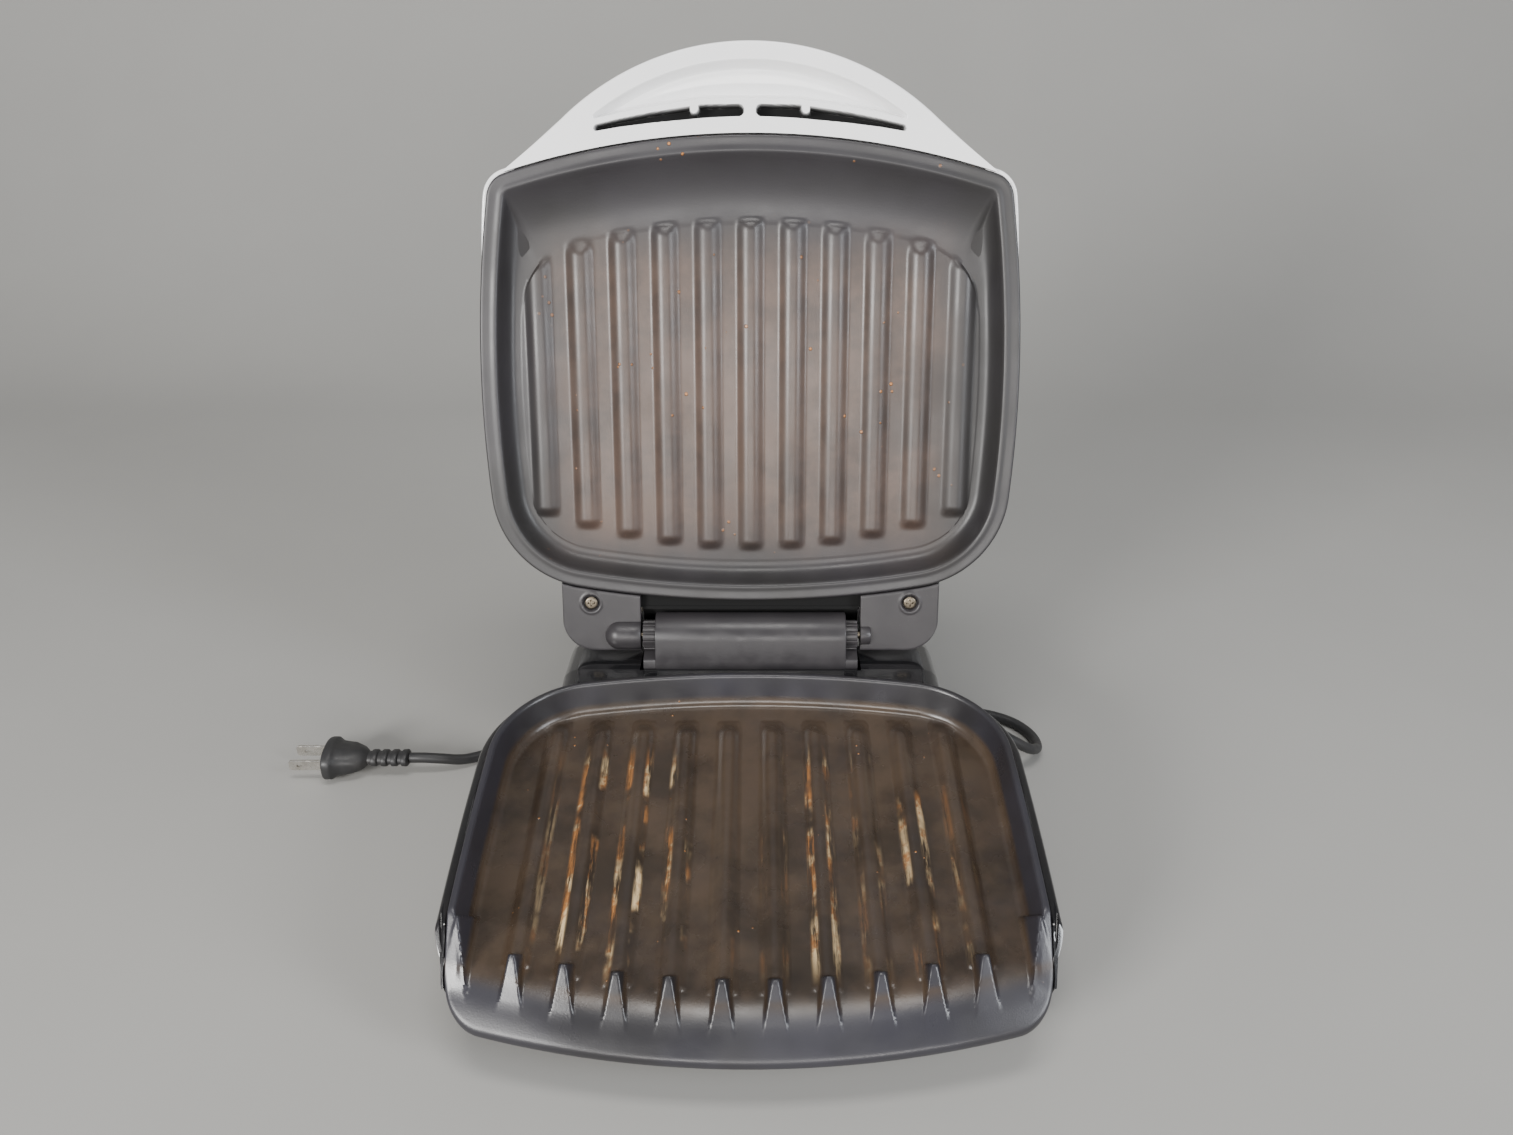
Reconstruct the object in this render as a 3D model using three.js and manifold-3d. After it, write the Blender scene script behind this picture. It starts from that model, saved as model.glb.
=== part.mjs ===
// Clamshell contact grill (panini press), shown open. Millimetres, +Z up, front towards -Y.
// The origin is on the surface that the feet stand on, under the middle of the object without its cord.
// Base and lid are drawn in the "plate frame": its origin is the middle of the lower cooking floor, and it is
// tipped down towards the front so that fat drains over the lip. The lid is drawn closed, then swung open.
import * as THREE from 'three';
import { mergeVertices } from 'three/addons/utils/BufferGeometryUtils.js';
import Module from 'manifold-3d';

const wasm = await Module();
wasm.setup();

const GAP = 0.3; // clearance between pieces that touch
const DEGREE = Math.PI / 180;

// Attitude
const SLOPE = 8 * DEGREE; // plates tip down towards the front
const OPEN_ANGLE = 112.5 * DEGREE; // lid, from closed to resting open
const FLOOR_HEIGHT = 49.3; // middle of the lower cooking floor above the table

// Ribs
const RIB_PITCH = 20.5;
const RIB_HEIGHT = 4.6;
const LOWER_RIBS = 10;
const UPPER_RIBS = 11;
const LOWER_RIB_WIDTH = 8;
const UPPER_RIB_WIDTH = 11;

// Lower plate
const LOWER_HALF_WIDTH = 120.5;
const LOWER_REAR = 96.4;
const LOWER_FRONT = -97;
const LOWER_REAR_RADIUS = 486;
const LOWER_FRONT_RADIUS = 410;
const LOWER_WALL_HEIGHT = 15.4;
const WALL_LEAN = 6.5; // how far a side wall leans out from floor to rim
const PLATE_THICKNESS = 3.5;
const LIP_SLOPE = 0.79; // fall of the front lip per millimetre
const LIP_START = 12.6; // lip's sharp start behind the front edge, on the floor
const SPIKE_HEIGHT = 9;
const OUTER_SPIKE_HEIGHT = 14.6;
const OUTER_SPIKE_X = 115.5;
const SPIKE_BASE = 12;
const SPIKE_TIP = 2.4;

// Upper plate and how it meets the lower one
const FLOOR_TO_FLOOR = 28; // cooking floors when closed
const UPPER_WALL_HEIGHT = 12;
const UPPER_HALF_WIDTH = 130;
const UPPER_REAR = 103.5;
const UPPER_FRONT = -119;
const UPPER_REAR_RADIUS = 520;
const UPPER_FRONT_RADIUS = 390;
const UPPER_SIDE_RADIUS = 600;
const FLANGE_WIDTH = 8;
const COVE_WIDTH = 24; // extra reach of the curved wall at the front

// Hinge
const HINGE_Y = 122;
const HINGE_Z = 18;
const BARREL_RADIUS = 11.5;
const LINK_HALF_WIDTH = 54;
const LINK_HALF_THICKNESS = BARREL_RADIUS - 2.5;
const LINK_FRONT = BARREL_RADIUS + 4.5; // apron's front face, ahead of the hinge axis
const LINK_RING = 6; // narrow ring at each end of the barrel
const APRON_TOP = 9; // apron at its full width
const APRON_LOW = -14;
const LEG_LOW = -50;
const GUIDE_LOW = -34;
const GUIDE_TOP = -17;
const LINK_TRAVEL = 12; // how far the lid floats up on thick food
const SIDE_CLEARANCE = 1.5; // link to hinge bracket and to the base, each side
const PIN_RADIUS = 2;
const PIN_LENGTH = 16;
const LEG_X = 38;
const LEG_WIDTH = 14;
const LEG_DEPTH = 10;

// Base
const BASE_BAND = 5; // glossy band outside the lower plate
const BASE_WALL = 2.5;
const BASE_BOTTOM = 7; // lower edge of the housing above the table
const BASE_DRAFT = 11; // how far the walls lean in towards the bottom
const BAND_TOP = 11;
const BASE_FRONT_SETBACK = 13; // housing front behind the lip's edge
const DECK_HALF_WIDTH = 95;
const DECK_TOP = 10;
const DECK_REAR = 143;
const DECK_CORNER = 10;
const DECK_KNEE = HINGE_Y - 7; // deck falls behind this line
const DECK_FALL = 0.414;
const WELL_LOW = -30;
const FOOT_RADIUS = 8;
const COVER_THICKNESS = 2;
const FRONT_POST_X = LOWER_HALF_WIDTH + BASE_BAND - BASE_WALL - 7;
const REAR_POST_X = DECK_HALF_WIDTH - BASE_WALL - 4;
const FRONT_POST_Y = -34;
const REAR_POST_Y = HINGE_Y - 2;
const SCREW_POSTS = [
  [-FRONT_POST_X, FRONT_POST_Y], [FRONT_POST_X, FRONT_POST_Y],
  [-REAR_POST_X, REAR_POST_Y], [REAR_POST_X, REAR_POST_Y],
];
const FEET = SCREW_POSTS.map(([x, y]) => [x - Math.sign(x) * 21, y > 0 ? y - 2 : y - 20]);
const GLAND_Y = 112; // cord entry on the right of the rear deck
const GLAND_Z = 33;
const GLAND_RADIUS = 5.3;

// Lid shell
const SHELL_WALL = 2.5;
const SHELL_EDGE = 0.4; // shell outside the upper plate's outline
const DOME_RISE = 42; // dome above the rim
const EXTENSION_HALF_WIDTH = LINK_HALF_WIDTH + 41;
const EXTENSION_REAR = 130;
const HOOD_RADIUS = 129; // front edge of the handle hood
const HOOD_FRONT = -159;
const BRACKET_THICKNESS = 3;

// Cord, in the object's own frame
const CORD_RADIUS = 2.8;
const CORD_ROUTE = [
  [84, 112, 33],
  [98, 112, 33],
  [112, 112, 33],
  [126, 112, 30],
  [139, 113, 21.5],
  [150, 118.5, 12],
  [157, 129, 5],
  [157, 142, 3],
  [150, 153.5, 3],
  [138, 161.5, 3],
  [120, 166, 3],
  [95, 167, 3],
  [60, 167, 3],
  [25, 167, 3],
  [-4, 168, 3],
  [-23, 177, 3],
  [-31, 193, 3],
  [-26, 210, 3],
  [-11, 220, 3],
  [8, 219, 3],
  [22, 208, 3.4],
  [27.5, 192, 6],
  [24, 176.5, 8.9],
  [14, 164, 9.3],
  [-1, 154, 7.6],
  [-21, 149.5, 4.2],
  [-50, 148.5, 3],
  [-84, 147, 3],
  [-115, 140.5, 3],
  [-138, 129, 3],
  [-155, 119, 4.6],
  [-166, 115, 8],
  [-175, 114, 9.4],
  [-182.7, 114, 9.4],
];
const PLUG_X = -183; // cord side of the plug's strain relief
const PLUG_Y = 114;
const PLUG_Z = 9.4;

// Details of the lid
const HANDLE_LIP = 8; // flat border round the handle's recess
const HANDLE_RECESS_Y = -134; // rear edge of the recess
const HANDLE_RECESS_DEPTH = 8.5;
const SLOT_Y = -129; // middle of a vent slot at its inner end
const SLOT_REACH = 71;
const BRACKET_SCREW_X = LINK_HALF_WIDTH + 26.5;
const BRACKET_SCREW_Y = 105;
const WIRE_COVER_RADIUS = 7.5;
const WIRE_COVER_REACH = LINK_HALF_WIDTH + 20;
const LENS_RADIUS = 4;
const LENS_Y = -106;
const LENS_TOP = 47.5;

// Heating
const ELEMENT_RADIUS = 3.2;
const FUSE_RADIUS = 2.2;
const FUSE_Z = -PLATE_THICKNESS - 2 * GAP - FUSE_RADIUS;
const LOWER_SHIELD_Z = -14;
const UPPER_SHIELD_Z = 42;
const SHIELD_SCREWS = [-34, 34];

// Plug
const PLUG_FLATNESS = 0.71;
const BLADE_SPACING = 12.7;
const BLADE_THICKNESS = 1.5;

const UPPER_FLOOR = FLOOR_TO_FLOOR;
const RIM_Z = UPPER_FLOOR - UPPER_WALL_HEIGHT; // lid's rim plane when closed
const FLANGE_BACK = 4.6; // back of the upper plate's flange behind the rim plane
const SHELL_FOOT = RIM_Z + FLANGE_BACK + GAP; // shell's edge, on the back of the flange
const BRACKET_LOW = RIM_Z + 0.5;
const LOWER_ELEMENT_Z = -PLATE_THICKNESS - GAP - ELEMENT_RADIUS;
const UPPER_ELEMENT_Z = UPPER_FLOOR + PLATE_THICKNESS + GAP + ELEMENT_RADIUS;
const LEAD_RADIUS = 1.6;
const LOWER_LEAD = [
  [66, 104, -21.8],
  [60, 101, -12],
  [40, 98, -8],
  [21.8, 88, LOWER_ELEMENT_Z + GAP],
];
const UPPER_LEAD = [
  [-LINK_HALF_WIDTH - 12, 119, 28.5],
  [-LINK_HALF_WIDTH - 2, 112, 34],
  [-36, 100, UPPER_ELEMENT_Z],
  [-21.8, 88, UPPER_ELEMENT_Z],
];
const LIP_CENTRE_Y = LOWER_FRONT + LOWER_FRONT_RADIUS; // centre of the front edge's arc
const LIP_BEND = LOWER_FRONT_RADIUS - LIP_START; // where floor and lip would meet without their round

// Names
const ENDS = [['left', -1], ['right', 1]];
const CORNERS = ['front_left', 'front_right', 'rear_left', 'rear_right'];

const FINISH = {
  nonstick: [0x3a393c, 0.42, 0.35],
  white: [0xe9e9ec, 0.28, 0],
  grey: [0x39373d, 0.6, 0],
  black: [0x101013, 0.2, 0],
  rubber: [0x17171a, 0.85, 0],
  cord: [0x18181b, 0.55, 0],
  steel: [0xc9c5bb, 0.3, 1],
  nickel: [0xd3d1cb, 0.25, 1],
  tin: [0xb3b5b6, 0.4, 1],
  ceramic: [0xe4ddcc, 0.8, 0],
  amber: [0xb23a12, 0.15, 0],
  wire: [0xd8d2c4, 0.6, 0],
};

// ---------------------------------------------------------------- solids

/** A boolean solid from a closed three.js geometry. */
function solid(geometry) {
  const bare = geometry.clone();
  bare.deleteAttribute('normal');
  bare.deleteAttribute('uv');
  const merged = mergeVertices(bare, 1e-4);
  const vertProperties = new Float32Array(merged.attributes.position.array);
  const triVerts = new Uint32Array(merged.index.array);
  return new wasm.Manifold(new wasm.Mesh({ numProp: 3, vertProperties, triVerts }));
}

/** A named mesh with its own material from a boolean solid. */
function piece(name, shape, finish) {
  const { vertProperties, triVerts } = shape.getMesh();
  const geometry = new THREE.BufferGeometry();
  geometry.setAttribute('position', new THREE.BufferAttribute(vertProperties, 3));
  geometry.setIndex(new THREE.BufferAttribute(triVerts, 1));
  geometry.computeVertexNormals();
  const [color, roughness, metalness] = FINISH[finish];
  const mesh = new THREE.Mesh(geometry, new THREE.MeshStandardMaterial({ color, roughness, metalness }));
  mesh.name = name;
  return mesh;
}

/** All the given solids joined. */
function join(...shapes) {
  return shapes.reduce((whole, shape) => whole.add(shape));
}

/** The first solid with the others cut away. */
function cut(body, ...tools) {
  return tools.reduce((rest, tool) => rest.subtract(tool), body);
}

/** A box from its lowest to its highest corner. */
function block(x0, y0, z0, x1, y1, z1) {
  const geometry = new THREE.BoxGeometry(x1 - x0, y1 - y0, z1 - z0);
  geometry.translate((x0 + x1) / 2, (y0 + y1) / 2, (z0 + z1) / 2);
  return solid(geometry);
}

/** A round rod between two points, tapered if a second radius is given. */
function rod(radius, from, to, { endRadius = radius, sides = 16 } = {}) {
  const start = new THREE.Vector3(...from);
  const end = new THREE.Vector3(...to);
  const geometry = new THREE.CylinderGeometry(endRadius, radius, start.distanceTo(end), sides);
  const turn = new THREE.Quaternion().setFromUnitVectors(
    new THREE.Vector3(0, 1, 0), end.clone().sub(start).normalize());
  geometry.applyQuaternion(turn);
  const middle = start.add(end).multiplyScalar(0.5);
  geometry.translate(middle.x, middle.y, middle.z);
  return solid(geometry);
}

function toShape(points) {
  return new THREE.Shape(points.map(([a, b]) => new THREE.Vector2(a, b)));
}

/** A flat shape (x, y) raised from z0 to z1. */
function upright(shape, z0, z1, curveSegments = 8) {
  const geometry = new THREE.ExtrudeGeometry(shape, { depth: z1 - z0, bevelEnabled: false, curveSegments });
  geometry.translate(0, 0, z0);
  return solid(geometry);
}

/** A side view (y, z) drawn out across x0 to x1. */
function across(shape, x0, x1, curveSegments = 8) {
  const geometry = new THREE.ExtrudeGeometry(shape, { depth: x1 - x0, bevelEnabled: false, curveSegments });
  geometry.applyMatrix4(new THREE.Matrix4().makeBasis(
    new THREE.Vector3(0, 1, 0), new THREE.Vector3(0, 0, 1), new THREE.Vector3(1, 0, 0)));
  geometry.translate(x0, 0, 0);
  return solid(geometry);
}

/** A front view (x, z) drawn out from y1 forwards to y0. */
function along(shape, y0, y1, curveSegments = 8) {
  const geometry = new THREE.ExtrudeGeometry(shape, { depth: y1 - y0, bevelEnabled: false, curveSegments });
  geometry.applyMatrix4(new THREE.Matrix4().makeBasis(
    new THREE.Vector3(1, 0, 0), new THREE.Vector3(0, 0, 1), new THREE.Vector3(0, -1, 0)));
  geometry.translate(0, y1, 0);
  return solid(geometry);
}

/** A rectangle with round corners; square lower corners if only the top is round. */
function roundRect(x0, y0, x1, y1, radius, { onlyTop = false } = {}) {
  const foot = onlyTop ? 0 : radius;
  const shape = new THREE.Shape();
  shape.moveTo(x0 + foot, y0);
  shape.lineTo(x1 - foot, y0);
  if (foot > 0) shape.absarc(x1 - foot, y0 + foot, foot, -Math.PI / 2, 0);
  shape.lineTo(x1, y1 - radius);
  shape.absarc(x1 - radius, y1 - radius, radius, 0, Math.PI / 2);
  shape.lineTo(x0 + radius, y1);
  shape.absarc(x0 + radius, y1 - radius, radius, Math.PI / 2, Math.PI);
  shape.lineTo(x0, y0 + foot);
  if (foot > 0) shape.absarc(x0 + foot, y0 + foot, foot, Math.PI, 1.5 * Math.PI);
  return shape;
}

/** A round tube along a smooth curve through the points. */
function tube(points, radius, { sides = 8, steps = 40 } = {}) {
  const knots = points.map((point) => new THREE.Vector3(...point));
  const path = new THREE.CatmullRomCurve3(knots, false, 'centripetal');
  const section = new THREE.Shape();
  section.absarc(0, 0, radius, 0, 2 * Math.PI);
  const curveSegments = sides / 2;
  return solid(new THREE.ExtrudeGeometry(section, { steps, extrudePath: path, curveSegments }));
}

// ---------------------------------------------------------------- pan outlines

/** The crossing of two circles that lies furthest towards the given direction. */
function crossing(a, radiusA, b, radiusB, towards) {
  const gap = b.clone().sub(a);
  const distance = gap.length();
  const reach = (distance ** 2 + radiusA ** 2 - radiusB ** 2) / (2 * distance);
  const rise = Math.sqrt(radiusA ** 2 - reach ** 2);
  const unit = gap.divideScalar(distance);
  const foot = a.clone().addScaledVector(unit, reach);
  const normal = new THREE.Vector2(-unit.y, unit.x).multiplyScalar(rise);
  return normal.dot(towards) > 0 ? foot.add(normal) : foot.sub(normal);
}

/**
 * A pan's outline from above: shallow arcs at the front, the sides and the rear, joined by round corners.
 * Each entry is a point and its outward normal, anticlockwise from the middle of the front.
 */
function panOutline({
  halfWidth, front, rear, frontRadius, rearRadius, sideRadius, frontCorner, rearCorner,
}) {
  const centres = {
    front: new THREE.Vector2(0, front + frontRadius),
    side: new THREE.Vector2(halfWidth - sideRadius, 0),
    rear: new THREE.Vector2(0, rear - rearRadius),
  };
  const frontRound = crossing(centres.side, sideRadius - frontCorner,
    centres.front, frontRadius - frontCorner, new THREE.Vector2(1, -1));
  const rearRound = crossing(centres.side, sideRadius - rearCorner,
    centres.rear, rearRadius - rearCorner, new THREE.Vector2(1, 1));
  const bearing = (from, to) => Math.atan2(to.y - from.y, to.x - from.x);
  const turns = [
    bearing(centres.front, frontRound),
    bearing(centres.side, frontRound),
    bearing(centres.side, rearRound),
    bearing(centres.rear, rearRound),
  ];
  const arcs = [
    [centres.front, frontRadius, -Math.PI / 2, turns[0], 5],
    [frontRound, frontCorner, turns[0], turns[1], 5],
    [centres.side, sideRadius, turns[1], turns[2], 4],
    [rearRound, rearCorner, turns[2], turns[3], 7],
    [centres.rear, rearRadius, turns[3], Math.PI / 2, 4],
  ];
  const half = arcs.flatMap(([centre, radius, start, end, steps]) => Array.from({ length: steps }, (_, i) => {
    const turn = start + ((end - start) * i) / steps;
    const normal = new THREE.Vector2(Math.cos(turn), Math.sin(turn));
    return { point: normal.clone().multiplyScalar(radius).add(centre), normal };
  }));
  half.push({ point: new THREE.Vector2(0, rear), normal: new THREE.Vector2(0, 1) });
  const mirrored = half.slice(1, -1).reverse().map(({ point, normal }) => ({
    point: new THREE.Vector2(-point.x, point.y),
    normal: new THREE.Vector2(-normal.x, normal.y),
  }));
  return [...half, ...mirrored];
}

/** An outline moved out by offset, shrunk towards the middle by scale (0 is a point) and set at a height. */
function ring(outline, offset, height, scale = 1) {
  return outline.map(({ point, normal }) => {
    const place = point.clone().addScaledVector(normal, offset).multiplyScalar(scale);
    return new THREE.Vector3(place.x, place.y, height);
  });
}

/** A solid through rings of equal count, from the bottom's middle up the outside and back in. */
function loft(rows) {
  const steps = rows[0].length;
  const geometry = new THREE.LatheGeometry(rows.map((row) => new THREE.Vector2(1, row[0].z)), steps);
  const position = geometry.attributes.position;
  for (let i = 0; i <= steps; i += 1) {
    rows.forEach((row, j) => {
      const { x, y, z } = row[i % steps];
      position.setXYZ(i * rows.length + j, x, y, z);
    });
  }
  return solid(geometry);
}

/** A loft of [offset, height, scale] rings round one outline. */
function rings(outline, profile) {
  return loft(profile.map(([offset, height, scale]) => ring(outline, offset, height, scale)));
}

/** The same, closed flat over the middle at its first and last ring. */
function filledRings(outline, profile) {
  const first = profile[0];
  const last = profile[profile.length - 1];
  return rings(outline, [[0, first[1], 0], ...profile, [0, last[1], 0]]);
}

const LOWER_OUTLINE = panOutline({
  halfWidth: LOWER_HALF_WIDTH, front: LOWER_FRONT, rear: LOWER_REAR,
  frontRadius: LOWER_FRONT_RADIUS, rearRadius: LOWER_REAR_RADIUS, sideRadius: 2000,
  frontCorner: 20, rearCorner: 48,
});
const UPPER_OUTLINE = panOutline({
  halfWidth: UPPER_HALF_WIDTH, front: UPPER_FRONT, rear: UPPER_REAR,
  frontRadius: UPPER_FRONT_RADIUS, rearRadius: UPPER_REAR_RADIUS, sideRadius: UPPER_SIDE_RADIUS,
  frontCorner: 12, rearCorner: 50,
});
const BASE_OUTLINE = panOutline({
  halfWidth: LOWER_HALF_WIDTH + BASE_BAND, front: LOWER_FRONT + BASE_FRONT_SETBACK, rear: LOWER_REAR + 3,
  frontRadius: LOWER_FRONT_RADIUS, rearRadius: LOWER_REAR_RADIUS, sideRadius: 2000,
  frontCorner: 22, rearCorner: 52,
});

// ---------------------------------------------------------------- lower plate

/** A (radius, height) outline turned about the centre of the front edge's arc. */
function turnAboutLipCentre(profile) {
  const points = profile.map(([radius, height]) => new THREE.Vector2(radius, height));
  const geometry = new THREE.LatheGeometry([...points, points[0]], 128);
  geometry.rotateX(Math.PI / 2);
  geometry.translate(0, LIP_CENTRE_Y, 0);
  return solid(geometry);
}

function lipHeight(radius) {
  return -LIP_SLOPE * (radius - LIP_BEND);
}

/** The rounded line of floor and lip, lowered by a distance, as (radius, height) from rear to edge. */
function lipLine(lower) {
  const bend = 9;
  const curve = new THREE.QuadraticBezierCurve(
    new THREE.Vector2(LIP_BEND - bend, -lower),
    new THREE.Vector2(LIP_BEND - lower * 0.35, -lower),
    new THREE.Vector2(LIP_BEND + bend * 0.8, lipHeight(LIP_BEND + bend * 0.8) - lower * 1.27));
  const round = curve.getPoints(4).map((point) => [point.x, point.y]);
  const end = LOWER_FRONT_RADIUS + 30;
  return [[LIP_BEND - 230, -lower], ...round, [end, lipHeight(end) - lower * 1.27]];
}

/** Everything above the lip's slope carried straight back and up. */
function aboveSlope(lower) {
  const top = 80;
  const back = LIP_BEND - top / LIP_SLOPE;
  const end = LOWER_FRONT_RADIUS + 60;
  return turnAboutLipCentre([[back, top - lower], [end, lipHeight(end) - lower], [end, top]]);
}

/** Everything above the floor and lip, lowered by a distance. */
function aboveLip(lower) {
  const line = lipLine(lower);
  const [end] = line[line.length - 1];
  return turnAboutLipCentre([...line, [end, 80], [line[0][0], 80]]);
}

/** One drip spike: a narrow pyramid whose front lies in the lip's slope. */
function spike(x, height) {
  const tipRadius = LIP_BEND - height / LIP_SLOPE;
  const tipY = LIP_CENTRE_Y - Math.sqrt(tipRadius ** 2 - x ** 2);
  const face = toShape([
    [x - SPIKE_BASE / 2, -3], [x + SPIKE_BASE / 2, -3],
    [x + SPIKE_TIP / 2, height], [x - SPIKE_TIP / 2, height]]);
  const side = toShape([
    [tipY + height * 0.75, -1], [tipY, height], [tipY - 40, height], [tipY - 40, -12], [tipY, -12]]);
  const wedge = along(face, LOWER_FRONT - 5, tipY + 20).intersect(across(side, x - 20, x + 20));
  return wedge.subtract(aboveSlope(0)).intersect(aboveLip(1.5));
}

/** A straight rib with a rounded top, standing on the lower floor or hanging from the upper one. */
function rib(x, y0, y1, width, hangFrom = null) {
  const sign = hangFrom === null ? 1 : -1;
  const z = (height) => (hangFrom ?? 0) + sign * height;
  const shape = new THREE.Shape();
  shape.moveTo(x - width / 2, z(-1));
  shape.lineTo(x - width / 2, z(0));
  shape.bezierCurveTo(
    x - width * 0.42, z(RIB_HEIGHT * 1.3), x + width * 0.42, z(RIB_HEIGHT * 1.3), x + width / 2, z(0));
  shape.lineTo(x + width / 2, z(-1));
  return along(shape, y0, y1, 4);
}

/** A boss on a plate's back, from the plate to its shield, that the shield's screw goes into. */
function screwBoss(x, z0, z1) {
  const out = Math.sign(z1 - z0);
  return cut(
    rod(4, [x, 0, z0], [x, 0, z1], { sides: 12 }),
    rod(1.7, [x, 0, z1 - out * 7], [x, 0, z1 + out], { sides: 8 }));
}

/** A heat shield's screw; away is -1 under the lower plate and 1 over the upper one. */
function shieldScrew(x, z, away) {
  const outer = z + away * (1 + GAP);
  const head = rod(3.2, [x, 0, outer], [x, 0, outer + away * 2], { sides: 12 });
  return join(head, rod(1.4, [x, 0, outer + away], [x, 0, z - away * 6], { sides: 8 }));
}

function ribPlaces(count) {
  return Array.from({ length: count }, (_, i) => (i - (count - 1) / 2) * RIB_PITCH);
}

function lowerPlate() {
  const end = LOWER_FRONT_RADIUS + 30;
  const section = [...lipLine(PLATE_THICKNESS), [end, lipHeight(end)], ...lipLine(0).reverse()];
  const sheet = turnAboutLipCentre(section);
  const plan = filledRings(LOWER_OUTLINE, [[0, -40], [0, OUTER_SPIKE_HEIGHT + 5]]);
  const wall = rings(LOWER_OUTLINE, [
    [-WALL_LEAN - 3, -PLATE_THICKNESS],
    [-WALL_LEAN + 3.2, -PLATE_THICKNESS],
    [-0.6, LOWER_WALL_HEIGHT - 2],
    [0, LOWER_WALL_HEIGHT - 1.2],
    [-0.6, LOWER_WALL_HEIGHT],
    [-2.4, LOWER_WALL_HEIGHT],
    [-3.2, LOWER_WALL_HEIGHT - 1.2],
    [-WALL_LEAN, 2.2],
    [-WALL_LEAN - 1, 0.8],
    [-WALL_LEAN - 3, 0],
    [-WALL_LEAN - 3, -PLATE_THICKNESS],
  ]);
  const ribRear = LOWER_REAR - 19.4;
  const ribs = ribPlaces(LOWER_RIBS).map((x) => {
    const tipY = LIP_CENTRE_Y - Math.sqrt((LIP_BEND - SPIKE_HEIGHT / LIP_SLOPE) ** 2 - x ** 2);
    return rib(x, tipY + 3, ribRear, LOWER_RIB_WIDTH);
  });
  const spikes = ribPlaces(LOWER_RIBS).map((x) => spike(x, SPIKE_HEIGHT));
  const outer = [-OUTER_SPIKE_X, OUTER_SPIKE_X].map((x) => spike(x, OUTER_SPIKE_HEIGHT));
  const walls = wall.subtract(aboveSlope(0)).intersect(aboveLip(PLATE_THICKNESS));
  const bosses = SHIELD_SCREWS.map((x) => screwBoss(x, 1 - PLATE_THICKNESS, LOWER_SHIELD_Z + GAP));
  return join(join(sheet, ...spikes, ...outer).intersect(plan), walls, ...ribs, ...bosses);
}

// ---------------------------------------------------------------- base

const PLATE_FRAME = new THREE.Matrix4()
  .makeTranslation(0, 0, FLOOR_HEIGHT)
  .multiply(new THREE.Matrix4().makeRotationX(SLOPE));
const FROM_TABLE = PLATE_FRAME.clone().invert();

/** A box given level with the table, as a solid in the plate frame. */
function tableBlock(x0, y0, z0, x1, y1, z1) {
  const geometry = new THREE.BoxGeometry(x1 - x0, y1 - y0, z1 - z0);
  geometry.translate((x0 + x1) / 2, (y0 + y1) / 2, (z0 + z1) / 2);
  geometry.applyMatrix4(FROM_TABLE);
  return solid(geometry);
}

/** A point given level with the table, in the plate frame. */
function fromTable(x, y, z) {
  return new THREE.Vector3(x, y, z).applyMatrix4(FROM_TABLE).toArray();
}

/** The rear deck's outer shape, or its hollow when drawn in by the wall. */
function deckBody(inset) {
  const top = DECK_TOP - inset;
  const rear = DECK_REAR - inset;
  const start = LOWER_REAR - 22 - inset;
  const side = toShape([
    [start, top],
    [DECK_KNEE - inset * 0.2, top],
    [rear, top - DECK_FALL * (rear - DECK_KNEE)],
    [rear - 6, -110],
    [start, -110],
  ]);
  const half = DECK_HALF_WIDTH - inset;
  const front = roundRect(-half, -110, half, top, Math.max(DECK_CORNER - inset, 1), { onlyTop: true });
  return across(side, -half, half).intersect(along(front, 0, DECK_REAR + 10, 4));
}

/** The housing's leaning wall, drawn in by a distance, from far below up to the given ring heights. */
function tubBody(inset, top) {
  return filledRings(BASE_OUTLINE, [
    [-BASE_DRAFT - inset, -110], [-inset, -12], [-inset, top - 1.2], [-inset - 1.2, top]]);
}

/** The room inside the housing, left open at the bottom. */
function baseHollow(inset) {
  return join(tubBody(BASE_WALL + inset, -PLATE_THICKNESS - 0.4), deckBody(BASE_WALL + inset));
}

function baseShell() {
  const plateRoom = filledRings(LOWER_OUTLINE, [[0.5, -60], [0.5, 40]])
    .intersect(aboveLip(PLATE_THICKNESS + 0.8));
  const well = block(-LINK_HALF_WIDTH - SIDE_CLEARANCE, HINGE_Y - LINK_FRONT - SIDE_CLEARANCE, WELL_LOW,
    LINK_HALF_WIDTH + SIDE_CLEARANCE, HINGE_Y + LINK_HALF_THICKNESS + SIDE_CLEARANCE, DECK_TOP + 10);
  const below = tableBlock(-200, -200, -100, 200, 200, BASE_BOTTOM);
  const posts = SCREW_POSTS.map(([x, y]) => (
    rod(5, fromTable(x, y, BASE_BOTTOM + COVER_THICKNESS + GAP), fromTable(x, y, 26))));
  const holes = SCREW_POSTS.map(([x, y]) => rod(1.7, fromTable(x, y, 0), fromTable(x, y, 21), { sides: 8 }));
  const gland = rod(GLAND_RADIUS, fromTable(DECK_HALF_WIDTH - 10, GLAND_Y, GLAND_Z),
    fromTable(DECK_HALF_WIDTH + 10, GLAND_Y, GLAND_Z), { sides: 12 });
  const shell = cut(join(tubBody(0, BAND_TOP), deckBody(0)), baseHollow(0), plateRoom, well, aboveSlope(1.2));
  const trimmed = posts.map((post) => post.intersect(join(tubBody(1, 0), deckBody(1))));
  return cut(join(shell, ...trimmed), below, gland, ...holes);
}

function bottomCover() {
  const slab = tableBlock(-200, -200, BASE_BOTTOM, 200, 200, BASE_BOTTOM + COVER_THICKNESS);
  const holes = SCREW_POSTS.map(([x, y]) => rod(1.8, fromTable(x, y, 0), fromTable(x, y, 20), { sides: 8 }));
  return cut(baseHollow(GAP + 0.1).intersect(slab), ...holes);
}

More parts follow.
